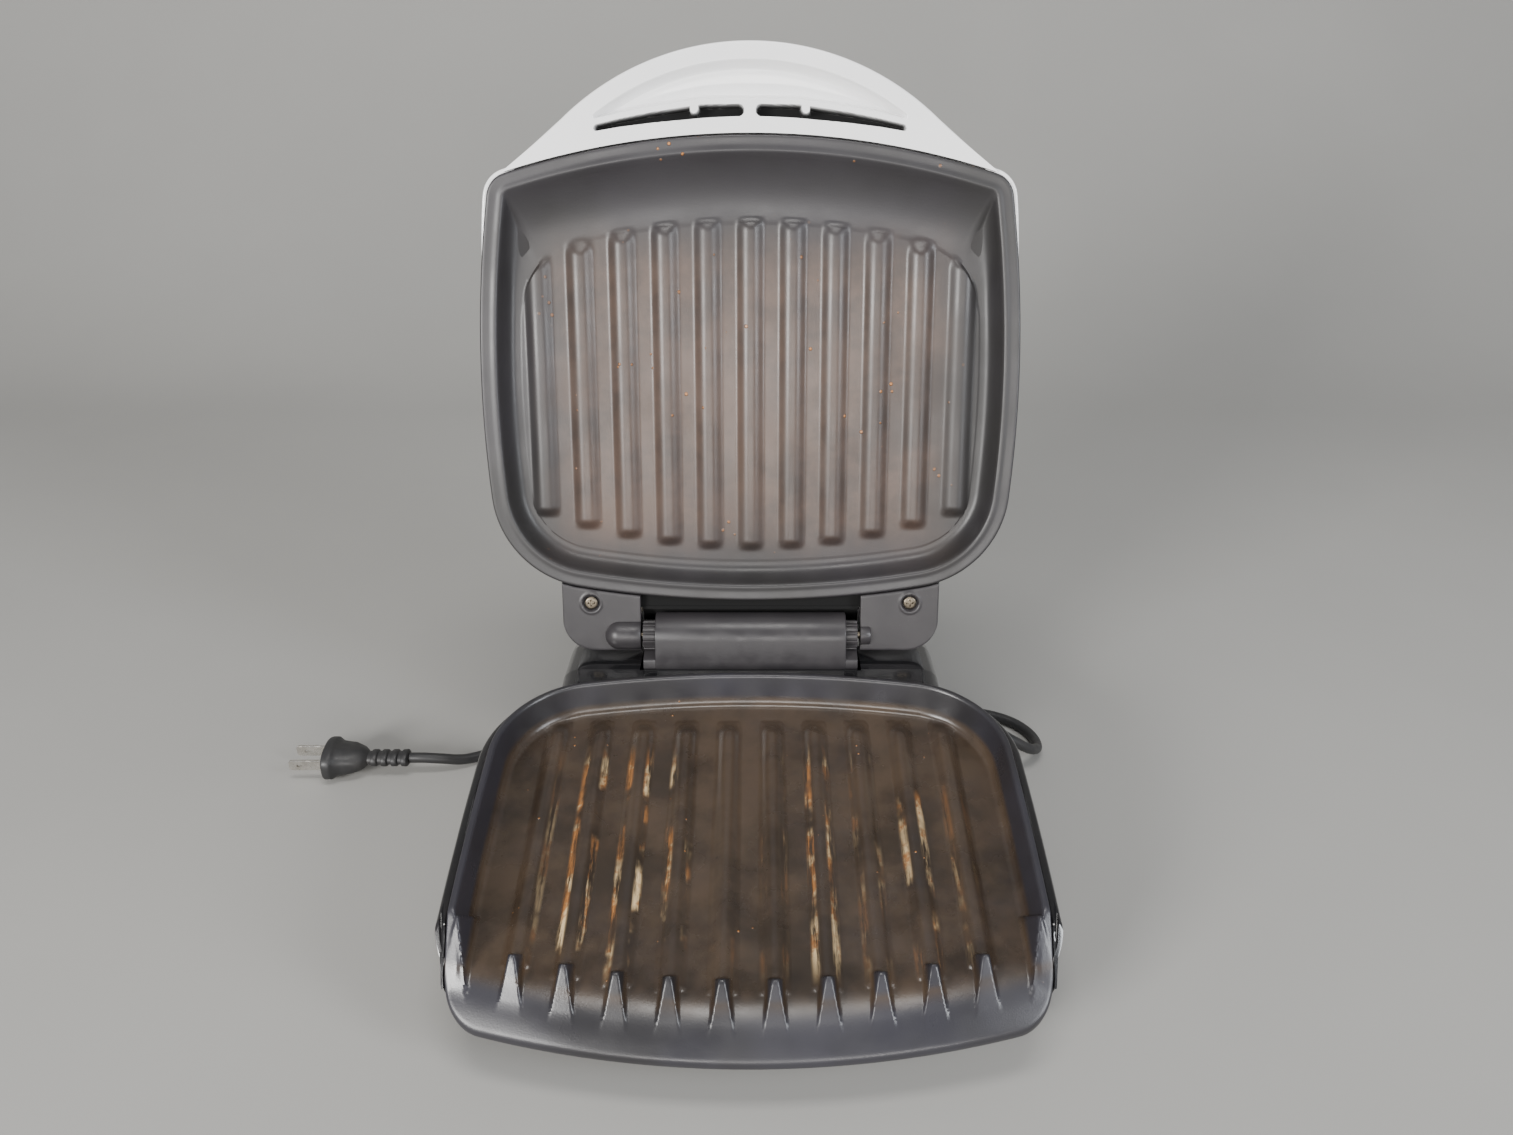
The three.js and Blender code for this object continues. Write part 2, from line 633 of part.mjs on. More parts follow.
/** A rubber foot standing on the table. */
function foot(x, y) {
  return rod(FOOT_RADIUS - 1.5, fromTable(x, y, 0), fromTable(x, y, BASE_BOTTOM - GAP), {
    endRadius: FOOT_RADIUS, sides: 16 });
}

/** A pan-head screw from below into a post of the housing. */
function coverScrew(x, y) {
  return join(
    rod(3.2, fromTable(x, y, BASE_BOTTOM - 2.2), fromTable(x, y, BASE_BOTTOM - GAP), { sides: 12 }),
    rod(1.4, fromTable(x, y, BASE_BOTTOM - 1), fromTable(x, y, 18), { sides: 8 }));
}

// ---------------------------------------------------------------- inside the base

/** A heating element's loop under or over a plate, with both ends at the rear. */
function heatingElement(z) {
  const side = [[18, 86], [18, 68], [40, 62], [70, 52], [82, 26], [82, -26], [66, -52], [34, -62]];
  const points = [...side, [0, -64], ...side.map(([x, y]) => [-x, y]).reverse()];
  return tube(points.map(([x, y]) => [x, y, z]), ELEMENT_RADIUS, { steps: 30 });
}

/** A pressed tray over a plate's back, with a hole for each of its screws. */
function heatShield(outline, z, away) {
  const tray = filledRings(outline, away < 0
    ? [[-10, z - 1, 0.88], [-8.6, z + 2.4, 0.88], [-9.8, z + 2.4, 0.88], [-11.2, z, 0.88]]
    : [[-11.2, z, 0.88], [-9.8, z - 2.4, 0.88], [-8.6, z - 2.4, 0.88], [-10, z + 1, 0.88]]);
  return cut(tray, ...SHIELD_SCREWS.map((x) => rod(1.8, [x, 0, z - 3], [x, 0, z + 3], { sides: 8 })));
}

/** A guide that one leg of the hinge link slides in. */
function hingeGuide(x) {
  const room = GAP + 0.1;
  const halfWidth = LEG_WIDTH / 2;
  const halfDepth = LEG_DEPTH / 2;
  const wall = 4;
  const sleeve = block(x - halfWidth - wall, HINGE_Y - halfDepth - wall, GUIDE_LOW,
    x + halfWidth + wall, HINGE_Y + halfDepth + wall, GUIDE_TOP);
  const bore = block(x - halfWidth - room, HINGE_Y - halfDepth - room, GUIDE_LOW - 1,
    x + halfWidth + room, HINGE_Y + halfDepth + room, GUIDE_TOP + 1);
  return cut(sleeve, bore);
}

function strainRelief() {
  const at = (x) => fromTable(x, GLAND_Y, GLAND_Z);
  const inside = DECK_HALF_WIDTH - BASE_WALL;
  const sleeve = join(
    rod(5, at(inside - 6), at(DECK_HALF_WIDTH + 12), { endRadius: 4.2, sides: 12 }),
    rod(7, at(DECK_HALF_WIDTH + GAP), at(DECK_HALF_WIDTH + 3), { sides: 12 }),
    rod(5.8, at(inside - 5), at(inside - GAP), { sides: 12 }));
  return cut(sleeve, rod(CORD_RADIUS + GAP, at(inside - 8), at(DECK_HALF_WIDTH + 14), { sides: 12 }));
}

// ---------------------------------------------------------------- hinge link

/** Where the line from the apron's front edge touches the barrel, as (y, z). */
function apronContact() {
  const rise = HINGE_Z - APRON_TOP;
  const span = Math.hypot(LINK_FRONT, rise);
  const pitch = Math.atan2(rise, LINK_FRONT) + Math.asin(BARREL_RADIUS / span);
  const reach = Math.sqrt(span ** 2 - BARREL_RADIUS ** 2);
  return [HINGE_Y - LINK_FRONT + reach * Math.cos(pitch), APRON_TOP + reach * Math.sin(pitch)];
}

function hingeLink() {
  const half = LINK_HALF_WIDTH;
  const shoulder = half - LINK_RING;
  const front = HINGE_Y - LINK_FRONT;
  const rear = HINGE_Y + LINK_HALF_THICKNESS;
  const axis = (x) => [x, HINGE_Y, HINGE_Z];
  const barrel = rod(BARREL_RADIUS, axis(-shoulder), axis(shoulder), { sides: 24 });
  const ends = rod(BARREL_RADIUS - 4, axis(-half), axis(half), { sides: 24 });
  const apron = block(-half, front, APRON_LOW, half, rear, APRON_TOP);
  const face = toShape([[front, APRON_TOP - 1], [rear, APRON_TOP - 1], [rear, HINGE_Z], apronContact(),
    [front, APRON_TOP]]);
  const legHalf = LEG_WIDTH / 2;
  const legDeep = LEG_DEPTH / 2;
  const hookTop = GUIDE_LOW - LINK_TRAVEL - 0.5;
  const legs = [-LEG_X, LEG_X].flatMap((x) => [
    block(x - legHalf, HINGE_Y - legDeep, hookTop - 1, x + legHalf, HINGE_Y + legDeep, APRON_LOW + 1),
    block(x - legHalf - 2.5, HINGE_Y - legDeep - 2.5, LEG_LOW,
      x + legHalf + 2.5, HINGE_Y + legDeep + 2.5, hookTop),
  ]);
  const bores = [-1, 1].map((side) => (
    rod(PIN_RADIUS + GAP, axis(side * (half - 12)), axis(side * (half + 2)))));
  return cut(join(barrel, ends, apron, across(face, -shoulder, shoulder), ...legs), ...bores);
}

// ---------------------------------------------------------------- lid, drawn closed

const UPPER_FLOOR_OUTLINE = panOutline({
  halfWidth: UPPER_HALF_WIDTH - 11, front: UPPER_FRONT + FLANGE_WIDTH + COVE_WIDTH, rear: UPPER_REAR - 11,
  frontRadius: UPPER_FRONT_RADIUS, rearRadius: UPPER_REAR_RADIUS, sideRadius: UPPER_SIDE_RADIUS,
  frontCorner: 34, rearCorner: 40,
});

function upperPlate() {
  const z = (depth) => RIM_Z + depth;
  const top = UPPER_WALL_HEIGHT + PLATE_THICKNESS;
  const rim = (offset, depth) => ring(UPPER_OUTLINE, offset, z(depth));
  const floor = (offset, depth, scale) => ring(UPPER_FLOOR_OUTLINE, offset, z(depth), scale);
  const pan = loft([
    floor(0, UPPER_WALL_HEIGHT, 0),
    floor(-6, UPPER_WALL_HEIGHT),
    floor(-1.5, UPPER_WALL_HEIGHT - 1.2),
    floor(0.8, UPPER_WALL_HEIGHT - 3.6),
    rim(-FLANGE_WIDTH - 1, 2.4),
    rim(-FLANGE_WIDTH, 0.8),
    rim(-FLANGE_WIDTH + 1.2, 0),
    rim(-1, 0),
    rim(0, 1),
    rim(0, 4),
    rim(-FLANGE_WIDTH + 2, FLANGE_BACK),
    rim(-FLANGE_WIDTH - 0.5, 6.6),
    floor(3, UPPER_WALL_HEIGHT - 0.5),
    floor(-2, top),
    floor(0, top, 0),
  ]);
  const ribs = ribPlaces(UPPER_RIBS).map((x) => {
    const arch = (x / (RIB_PITCH * 5)) ** 2;
    return rib(x, -85 + 19 * arch, 80 - 17.5 * arch, UPPER_RIB_WIDTH, UPPER_FLOOR);
  });
  const bosses = SHIELD_SCREWS.map((x) => (
    screwBoss(x, UPPER_FLOOR + PLATE_THICKNESS - 1, UPPER_SHIELD_Z - GAP)));
  return join(pan, ...ribs, ...bosses);
}

/** A lid outer shape, or its hollow when drawn in by the wall. */
function domeBody(inset) {
  const outer = SHELL_EDGE - inset;
  const foot = inset > 0 ? RIM_Z - 10 : SHELL_FOOT;
  const shoulder = RIM_Z + 6;
  const arch = Array.from({ length: 7 }, (_, i) => {
    const turn = (i / 7) * (Math.PI / 2);
    const height = shoulder + (DOME_RISE - 6 - inset) * Math.sin(turn);
    return [outer, height, 1 - 0.54 * (1 - Math.cos(turn))];
  });
  return rings(UPPER_OUTLINE, [[0, foot, 0], [outer, foot, 1], ...arch, [0, RIM_Z + DOME_RISE - inset, 0]]);
}

/** The rear of the lid over the hinge, or its hollow. */
function extensionBody(inset) {
  const rear = EXTENSION_REAR - inset;
  const foot = inset > 0 ? RIM_Z - 10 : BRACKET_LOW + BRACKET_THICKNESS + GAP;
  const side = toShape([
    [UPPER_REAR - 18, foot], [rear, foot], [rear, RIM_Z + 18 - inset], [rear - 3, RIM_Z + 22.5 - inset],
    [rear - 12, RIM_Z + 26 - inset], [UPPER_REAR - 3, RIM_Z + 30 - inset],
    [UPPER_REAR - 18, RIM_Z + 34 - inset],
  ]);
  const half = EXTENSION_HALF_WIDTH - inset;
  const front = roundRect(-half, foot, half, RIM_Z + 32 - inset, 16 - inset, { onlyTop: true });
  const plan = roundRect(-half, 20, half, rear, 18 - inset);
  return across(side, -half, half).intersect(along(front, 0, rear, 5)).intersect(upright(plan, foot, 80, 5));
}

/** The handle hood in front of the lid. */
function hoodBody() {
  const centreY = HOOD_FRONT + HOOD_RADIUS;
  const turn = 48 * DEGREE;
  const endX = HOOD_RADIUS * Math.cos(turn);
  const endY = centreY - HOOD_RADIUS * Math.sin(turn);
  const plan = new THREE.Shape();
  plan.moveTo(-UPPER_HALF_WIDTH + 16, UPPER_FRONT + 60);
  plan.lineTo(-UPPER_HALF_WIDTH + 16, UPPER_FRONT + 12);
  plan.quadraticCurveTo(-endX - 12, endY + 10.5, -endX, endY);
  plan.absarc(0, centreY, HOOD_RADIUS, Math.PI + turn, 2 * Math.PI - turn);
  plan.quadraticCurveTo(endX + 12, endY + 10.5, UPPER_HALF_WIDTH - 16, UPPER_FRONT + 12);
  plan.lineTo(UPPER_HALF_WIDTH - 16, UPPER_FRONT + 60);
  const foot = RIM_Z - 0.4;
  const side = new THREE.Shape();
  side.moveTo(UPPER_FRONT + 60, foot);
  side.lineTo(UPPER_FRONT + 60, RIM_Z + 34);
  side.bezierCurveTo(UPPER_FRONT + 10, RIM_Z + 30, HOOD_FRONT + 6, RIM_Z + 14, HOOD_FRONT, RIM_Z + 3);
  side.lineTo(HOOD_FRONT, foot);
  const front = new THREE.Shape();
  front.moveTo(-UPPER_HALF_WIDTH + 8, foot);
  front.lineTo(UPPER_HALF_WIDTH - 8, foot);
  front.bezierCurveTo(UPPER_HALF_WIDTH - 30, RIM_Z + 26, 50, RIM_Z + 36, 0, RIM_Z + 36);
  front.bezierCurveTo(-50, RIM_Z + 36, -UPPER_HALF_WIDTH + 30, RIM_Z + 26, -UPPER_HALF_WIDTH + 8, foot);
  const width = UPPER_HALF_WIDTH;
  return upright(plan, foot, RIM_Z + 40, 10)
    .intersect(across(side, -width, width, 8))
    .intersect(along(front, HOOD_FRONT - 5, UPPER_FRONT + 70, 8));
}

/** A long vent slot in the underside between plate and handle, tapering outwards. */
function ventSlot(side) {
  const inner = SLOT_Y - 2.6;
  const shape = toShape([
    [side * 4, inner + 0.6], [side * 6, inner], [side * SLOT_REACH, SLOT_Y + 5.6],
    [side * (SLOT_REACH + 1), SLOT_Y + 7], [side * SLOT_REACH, SLOT_Y + 8.4], [side * 6, SLOT_Y + 2.6],
    [side * 4, SLOT_Y + 2]]);
  return upright(shape, RIM_Z - 6, RIM_Z + 5);
}

function lidShell() {
  const centreY = HOOD_FRONT + HOOD_RADIUS;
  const recessRadius = HOOD_RADIUS - HANDLE_LIP;
  const turn = Math.asin((centreY - HANDLE_RECESS_Y) / recessRadius);
  const recessPlan = new THREE.Shape();
  recessPlan.absarc(0, centreY, recessRadius, Math.PI + turn, 2 * Math.PI - turn);
  const recess = upright(recessPlan, RIM_Z - 10, RIM_Z + HANDLE_RECESS_DEPTH, 12);
  const plenum = block(-SLOT_REACH - 4, HANDLE_RECESS_Y + 2, RIM_Z + SHELL_WALL,
    SLOT_REACH + 4, UPPER_FRONT + 20, RIM_Z + 15);
  const notch = block(-LINK_HALF_WIDTH - SIDE_CLEARANCE, HINGE_Y - 2, -10, LINK_HALF_WIDTH + SIDE_CLEARANCE,
    EXTENSION_REAR + 10, HINGE_Z + BARREL_RADIUS + 2.5);
  const plateRoom = filledRings(UPPER_OUTLINE, [[SHELL_EDGE, RIM_Z - 5], [SHELL_EDGE, SHELL_FOOT]]);
  const hollow = join(domeBody(SHELL_WALL), extensionBody(SHELL_WALL));
  const shell = cut(join(domeBody(0), extensionBody(0), hoodBody()), hollow, plateRoom, notch, recess, plenum,
    ventSlot(-1), ventSlot(1));
  const posts = [-BRACKET_SCREW_X, BRACKET_SCREW_X].map((x) => cut(
    rod(4.5, [x, BRACKET_SCREW_Y, RIM_Z + 4.2], [x, BRACKET_SCREW_Y, RIM_Z + 40], { sides: 12 })
      .intersect(join(domeBody(1), extensionBody(1))),
    rod(1.7, [x, BRACKET_SCREW_Y, 0], [x, BRACKET_SCREW_Y, RIM_Z + 17], { sides: 8 })));
  const lensHole = rod(LENS_RADIUS + GAP, [0, LENS_Y, RIM_Z + 18], [0, LENS_Y, RIM_Z + 60], { sides: 16 });
  return cut(join(shell, ...posts), lensHole);
}

/** The moulding that closes the lid's rear and carries the hinge pins, with a round cover for the wires. */
function hingeBracket() {
  const low = BRACKET_LOW;
  const axis = (x) => [x, HINGE_Y, HINGE_Z];
  const half = EXTENSION_HALF_WIDTH;
  const rear = EXTENSION_REAR - SHELL_WALL - GAP;
  const plan = roundRect(-half, 40, half, EXTENSION_REAR, 18);
  const notchHalf = LINK_HALF_WIDTH + SIDE_CLEARANCE;
  const plate = cut(upright(plan, low, low + BRACKET_THICKNESS, 5),
    filledRings(UPPER_OUTLINE, [[0.4, 0], [0.4, 60]]),
    block(-notchHalf, 0, 0, notchHalf, 200, 60));
  const ears = [-1, 1].map((side) => rod(5, axis(side * notchHalf), axis(side * (notchHalf + 5.5))));
  const cap = new THREE.SphereGeometry(WIRE_COVER_RADIUS, 16, 10);
  cap.translate(-WIRE_COVER_REACH + WIRE_COVER_RADIUS, HINGE_Y, HINGE_Z);
  const cover = join(
    rod(WIRE_COVER_RADIUS, axis(-notchHalf), axis(-WIRE_COVER_REACH + WIRE_COVER_RADIUS)), solid(cap));
  const inside = block(-200, HINGE_Y - 20, 0, 200, rear, 60);
  const bores = [-1, 1].map((side) => (
    rod(PIN_RADIUS + GAP, axis(side * (notchHalf - 4)), axis(side * (notchHalf + 4)))));
  const screwHoles = [-BRACKET_SCREW_X, BRACKET_SCREW_X].flatMap((x) => [
    rod(1.8, [x, BRACKET_SCREW_Y, 0], [x, BRACKET_SCREW_Y, 40], { sides: 8 }),
    rod(3.8, [x, BRACKET_SCREW_Y, 0], [x, BRACKET_SCREW_Y, low + 1.3])]);
  const bridge = cut(
    block(-notchHalf - 4, BRACKET_SCREW_Y - 12, low + 1,
      notchHalf + 4, HINGE_Y - BARREL_RADIUS - 2.2, low + 5),
    filledRings(UPPER_OUTLINE, [[0.4, 0], [0.4, 60]]));
  return cut(join(plate, bridge, join(...ears, cover).intersect(inside)), ...bores, ...screwHoles);
}

function bracketScrew(x) {
  const low = RIM_Z + 0.6;
  return join(
    rod(3.4, [x, BRACKET_SCREW_Y, low], [x, BRACKET_SCREW_Y, low + 0.9]),
    rod(1.4, [x, BRACKET_SCREW_Y, low + 0.5], [x, BRACKET_SCREW_Y, RIM_Z + 14], { sides: 8 }));
}

function hingePin(side) {
  const start = side * (LINK_HALF_WIDTH - 10.5);
  return rod(PIN_RADIUS, [start, HINGE_Y, HINGE_Z], [start + side * PIN_LENGTH, HINGE_Y, HINGE_Z]);
}

function indicatorLens() {
  return rod(LENS_RADIUS, [0, LENS_Y, LENS_TOP - 9], [0, LENS_Y, LENS_TOP], { endRadius: LENS_RADIUS - 0.8 });
}

function indicatorLamp() {
  return rod(2.4, [0, LENS_Y, LENS_TOP - 18], [0, LENS_Y, LENS_TOP - 10], { sides: 10 });
}

// ---------------------------------------------------------------- cord and plug

/** The plug's moulded body, lying flat, with a ribbed relief round the cord. */
function plugBody() {
  const flare = [[0, 0], [4.6, 0]];
  for (let i = 0; i < 4; i += 1) {
    flare.push([5.6, 1 + i * 5.4], [5.6, 3.6 + i * 5.4], [4.4, 4 + i * 5.4], [4.4, 6 + i * 5.4]);
  }
  flare.push([7, 25], [9.4, 30], [11, 37], [12.8, 39.5], [13, 43], [12, 44], [0, 44]);
  const profile = flare.map(([radius, reach]) => new THREE.Vector2(radius, reach));
  const geometry = new THREE.LatheGeometry(profile, 16);
  geometry.rotateZ(Math.PI / 2);
  geometry.scale(1, 1, PLUG_FLATNESS);
  geometry.translate(PLUG_X, PLUG_Y, PLUG_Z);
  return solid(geometry);
}

/** One flat blade with the hole near its end. */
function plugBlade(side) {
  const y = PLUG_Y + side * BLADE_SPACING / 2;
  const start = PLUG_X - 44 - GAP;
  const shape = new THREE.Shape();
  shape.moveTo(-start, -3.1);
  shape.lineTo(-start + 16, -3.1);
  shape.lineTo(-start + 18.5, -1.6);
  shape.lineTo(-start + 18.5, 1.6);
  shape.lineTo(-start + 16, 3.1);
  shape.lineTo(-start, 3.1);
  const hole = new THREE.Path();
  hole.absarc(-start + 13, 0, 1.5, 0, 2 * Math.PI, true);
  shape.holes.push(hole);
  const options = { depth: BLADE_THICKNESS, bevelEnabled: false, curveSegments: 8 };
  const geometry = new THREE.ExtrudeGeometry(shape, options);
  geometry.applyMatrix4(new THREE.Matrix4().makeBasis(
    new THREE.Vector3(-1, 0, 0), new THREE.Vector3(0, 0, 1), new THREE.Vector3(0, 1, 0)));
  geometry.translate(0, y - BLADE_THICKNESS / 2, PLUG_Z);
  return solid(geometry);
}

// ---------------------------------------------------------------- the whole object


const base = new THREE.Group();
base.add(
  piece('base_shell', baseShell(), 'black'),
  piece('bottom_cover', bottomCover(), 'black'),
  piece('lower_plate', lowerPlate(), 'nonstick'),
  piece('lower_heating_element', heatingElement(LOWER_ELEMENT_Z), 'steel'),
  piece('lower_heat_shield', heatShield(LOWER_OUTLINE, LOWER_SHIELD_Z, -1), 'tin'),
  piece('thermostat', rod(9, [0, 24, -PLATE_THICKNESS - GAP], [0, 24, -10.5]), 'ceramic'),
  piece('thermal_fuse', rod(FUSE_RADIUS, [-8, -30, FUSE_Z], [10, -30, FUSE_Z], { sides: 10 }), 'tin'),
  piece('terminal_block', block(60, 99, -36, 84, 110, -24), 'ceramic'),
  piece('lower_lead', tube(LOWER_LEAD, LEAD_RADIUS, { steps: 8 }), 'wire'),
  piece('strain_relief', strainRelief(), 'rubber'),
);
FEET.forEach(([x, y], i) => base.add(piece(`foot_${CORNERS[i]}`, foot(x, y), 'rubber')));
SCREW_POSTS.forEach(([x, y], i) => base.add(piece(`cover_screw_${CORNERS[i]}`, coverScrew(x, y), 'steel')));
ENDS.forEach(([name, side]) => base.add(
  piece(`hinge_guide_${name}`, hingeGuide(side * LEG_X), 'grey'),
  piece(`lower_shield_screw_${name}`, shieldScrew(side * SHIELD_SCREWS[1], LOWER_SHIELD_Z, -1), 'steel'),
));

const link = new THREE.Group();
link.add(piece('hinge_link', hingeLink(), 'grey'));

const lid = new THREE.Group();
lid.add(
  piece('lid_shell', lidShell(), 'white'),
  piece('upper_plate', upperPlate(), 'nonstick'),
  piece('upper_heating_element', heatingElement(UPPER_ELEMENT_Z), 'steel'),
  piece('upper_heat_shield', heatShield(UPPER_OUTLINE, UPPER_SHIELD_Z, 1), 'tin'),
  piece('hinge_bracket', hingeBracket(), 'grey'),
  piece('indicator_lens', indicatorLens(), 'amber'),
  piece('indicator_lamp', indicatorLamp(), 'ceramic'),
  piece('upper_lead', tube(UPPER_LEAD, LEAD_RADIUS, { steps: 8 }), 'wire'),
);
ENDS.forEach(([name, side]) => lid.add(
  piece(`hinge_pin_${name}`, hingePin(side), 'steel'),
  piece(`bracket_screw_${name}`, bracketScrew(side * BRACKET_SCREW_X), 'steel'),
  piece(`upper_shield_screw_${name}`, shieldScrew(side * SHIELD_SCREWS[1], UPPER_SHIELD_Z, 1), 'steel'),
));
const lidSwing = new THREE.Group();
lidSwing.position.set(0, HINGE_Y, HINGE_Z);
lidSwing.rotation.x = -OPEN_ANGLE;
lid.position.set(0, -HINGE_Y, -HINGE_Z);
lidSwing.add(lid);

const plateFrame = new THREE.Group();
plateFrame.position.set(0, 0, FLOOR_HEIGHT);
plateFrame.rotation.x = SLOPE;
plateFrame.add(base, link, lidSwing);

const cord = new THREE.Group();
cord.add(
  piece('power_cord', tube(CORD_ROUTE, CORD_RADIUS, { sides: 8, steps: 54 }), 'cord'),
  piece('plug_body', plugBody(), 'cord'),
  piece('plug_blade_front', plugBlade(-1), 'nickel'),
  piece('plug_blade_rear', plugBlade(1), 'nickel'),
);

plateFrame.updateMatrixWorld(true);
const footprint = new THREE.Box3().setFromObject(plateFrame, true);
const grill = new THREE.Group();
grill.add(plateFrame, cord);
grill.position.y = -(footprint.min.y + footprint.max.y) / 2;

export default grill;
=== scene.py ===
"""Contact grill (panini press), shown open on its feet.

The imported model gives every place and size. Shapes are worked out in millimetres in the plate frame, whose
origin is the middle of the lower cooking floor, and are placed in the object's own frame in metres.
"""

import logging
import math
from dataclasses import dataclass, field
from enum import Enum
from typing import Optional, Sequence

import bpy
import numpy as np
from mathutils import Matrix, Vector
from numpy.typing import NDArray


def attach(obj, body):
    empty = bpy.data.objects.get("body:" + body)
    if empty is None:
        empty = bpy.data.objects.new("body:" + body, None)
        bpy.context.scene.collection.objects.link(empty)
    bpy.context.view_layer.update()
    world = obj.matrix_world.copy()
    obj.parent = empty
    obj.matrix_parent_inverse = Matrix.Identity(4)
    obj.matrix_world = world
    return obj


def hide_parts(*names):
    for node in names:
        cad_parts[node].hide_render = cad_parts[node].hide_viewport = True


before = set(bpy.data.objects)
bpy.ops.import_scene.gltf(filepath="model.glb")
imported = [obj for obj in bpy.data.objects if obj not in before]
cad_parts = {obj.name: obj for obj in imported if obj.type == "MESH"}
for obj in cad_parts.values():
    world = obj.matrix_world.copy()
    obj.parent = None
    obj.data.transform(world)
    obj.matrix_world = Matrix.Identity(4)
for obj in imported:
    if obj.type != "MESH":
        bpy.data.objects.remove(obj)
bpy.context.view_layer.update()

Array = NDArray[np.float64]
LOG = logging.getLogger("grill")

MM = 0.001

# Attitude and hinge, as in the model
SLOPE = math.radians(8)
OPEN_ANGLE = math.radians(112.5)
FLOOR_HEIGHT = 49.3
MIDDLE_SHIFT = -55.1069
HINGE_Y = 122.0
HINGE_Z = 18.0
BARREL_RADIUS = 11.5
LINK_HALF_WIDTH = 54.0
SIDE_CLEARANCE = 1.5
RIB_PITCH = 20.5
RIM_Z = 16.0
PLATE_THICKNESS = 3.5


class Body(Enum):
    """The bodies that pieces ride on."""

    BASE = "base"
    LINK = "hinge_link"
    LID = "lid"


class Slot(Enum):
    """The material slots of the model."""

    NONSTICK = "nonstick_plate"
    WHITE = "white_plastic"
    GREY = "grey_plastic"
    BLACK = "black_plastic"
    RUBBER = "black_rubber"
    CORD = "cord_jacket"
    BLADE = "blade_nickel"
    SCREW = "screw_steel"
    ELEMENT = "element_steel"
    SHIELD = "shield_sheet"
    CERAMIC = "ceramic"
    LEAD = "lead_sleeve"
    LENS = "lens_amber"


# ---- numbers


def soft_min(first: Array, second: Array, width: float | Array) -> Array:
    """The lower of two heights, with the corner between them rounded.

    Where the two differ by less than width, (width - difference) squared over 4 width is taken off.

    Args:
        first: Heights.
        second: Other heights.
        width: Range of difference over which the corner is rounded.

    Returns:
        The blended heights.
    """
    overlap = np.maximum(width - np.abs(first - second), 0.0)
    return np.minimum(first, second) - overlap**2 / (4.0 * width)


def soft_max(first: Array, second: Array, width: float | Array) -> Array:
    """The higher of two heights with a filleted corner, the mirror of soft_min."""
    return -soft_min(-first, -second, width)


def ease(value: Array, start: float, end: float) -> Array:
    """A smooth step from 0 at start to 1 at end: 3 t squared minus 2 t cubed."""
    t = np.clip((np.asarray(value, float) - start) / (end - start), 0.0, 1.0)
    return t * t * (3.0 - 2.0 * t)


def spaced(count: int, dense: float, reach: float) -> Array:
    """Steps from 0 to 1 that crowd at the start.

    The local step grows as 1 / (1 + dense exp(-s / reach)), summed and scaled to end at 1.

    Args:
        count: Number of steps.
        dense: How much finer the first steps are.
        reach: How far the fine part reaches, as a fraction.

    Returns:
        count + 1 values.
    """
    s = np.linspace(0.0, 1.0, count)
    total = np.concatenate([[0.0], np.cumsum(1.0 / (1.0 + dense * np.exp(-s / reach)))])
    return total / total[-1]


def turn_about_x(angle: float) -> Array:
    """The 3 x 3 matrix of a turn about the X axis."""
    c, s = math.cos(angle), math.sin(angle)
    return np.array([[1.0, 0.0, 0.0], [0.0, c, -s], [0.0, s, c]])


@dataclass(frozen=True)
class Placement:
    """A turn and a shift from a piece's own millimetres to the object's metres."""

    turn: Array
    shift: Array

    def place(self, points: Array) -> Array:
        """Points carried into the object's frame, in metres."""
        return (points @ self.turn.T + self.shift) * MM


def lid_placement() -> Placement:
    """The closed lid's frame, swung open about the hinge and then tipped with the plates."""
    hinge = np.array([0.0, HINGE_Y, HINGE_Z])
    swing = turn_about_x(-OPEN_ANGLE)
    tip = turn_about_x(SLOPE)
    return Placement(tip @ swing, tip @ (hinge - swing @ hinge) + TABLE_SHIFT + [0.0, 0.0, FLOOR_HEIGHT])


TABLE_SHIFT = np.array([0.0, MIDDLE_SHIFT, 0.0])
TABLE = Placement(np.eye(3), TABLE_SHIFT)
PLATES = Placement(turn_about_x(SLOPE), TABLE_SHIFT + [0.0, 0.0, FLOOR_HEIGHT])
LID = lid_placement()


def plate_height(y: Array, table_height: float) -> Array:
    """The height in the plate frame of the points at y that are table_height above the table."""
    return (table_height - FLOOR_HEIGHT - y * math.sin(SLOPE)) / math.cos(SLOPE)


def level(point: Sequence[float]) -> Array:
    """A point given level with the table, in the plate frame."""
    return turn_about_x(-SLOPE) @ (np.asarray(point, float) - [0.0, 0.0, FLOOR_HEIGHT])


# ---- meshes


def quad_strip(lower: Array, upper: Array) -> Array:
    """Faces between two closed rows of vertex numbers of equal count."""
    return np.stack([lower, np.roll(lower, -1), np.roll(upper, -1), upper], axis=-1).reshape(-1, 4)


def quad_grid(ids: Array) -> Array:
    """Faces of an open grid of vertex numbers."""
    return np.stack([ids[:-1, :-1], ids[:-1, 1:], ids[1:, 1:], ids[1:, :-1]], axis=-1).reshape(-1, 4)


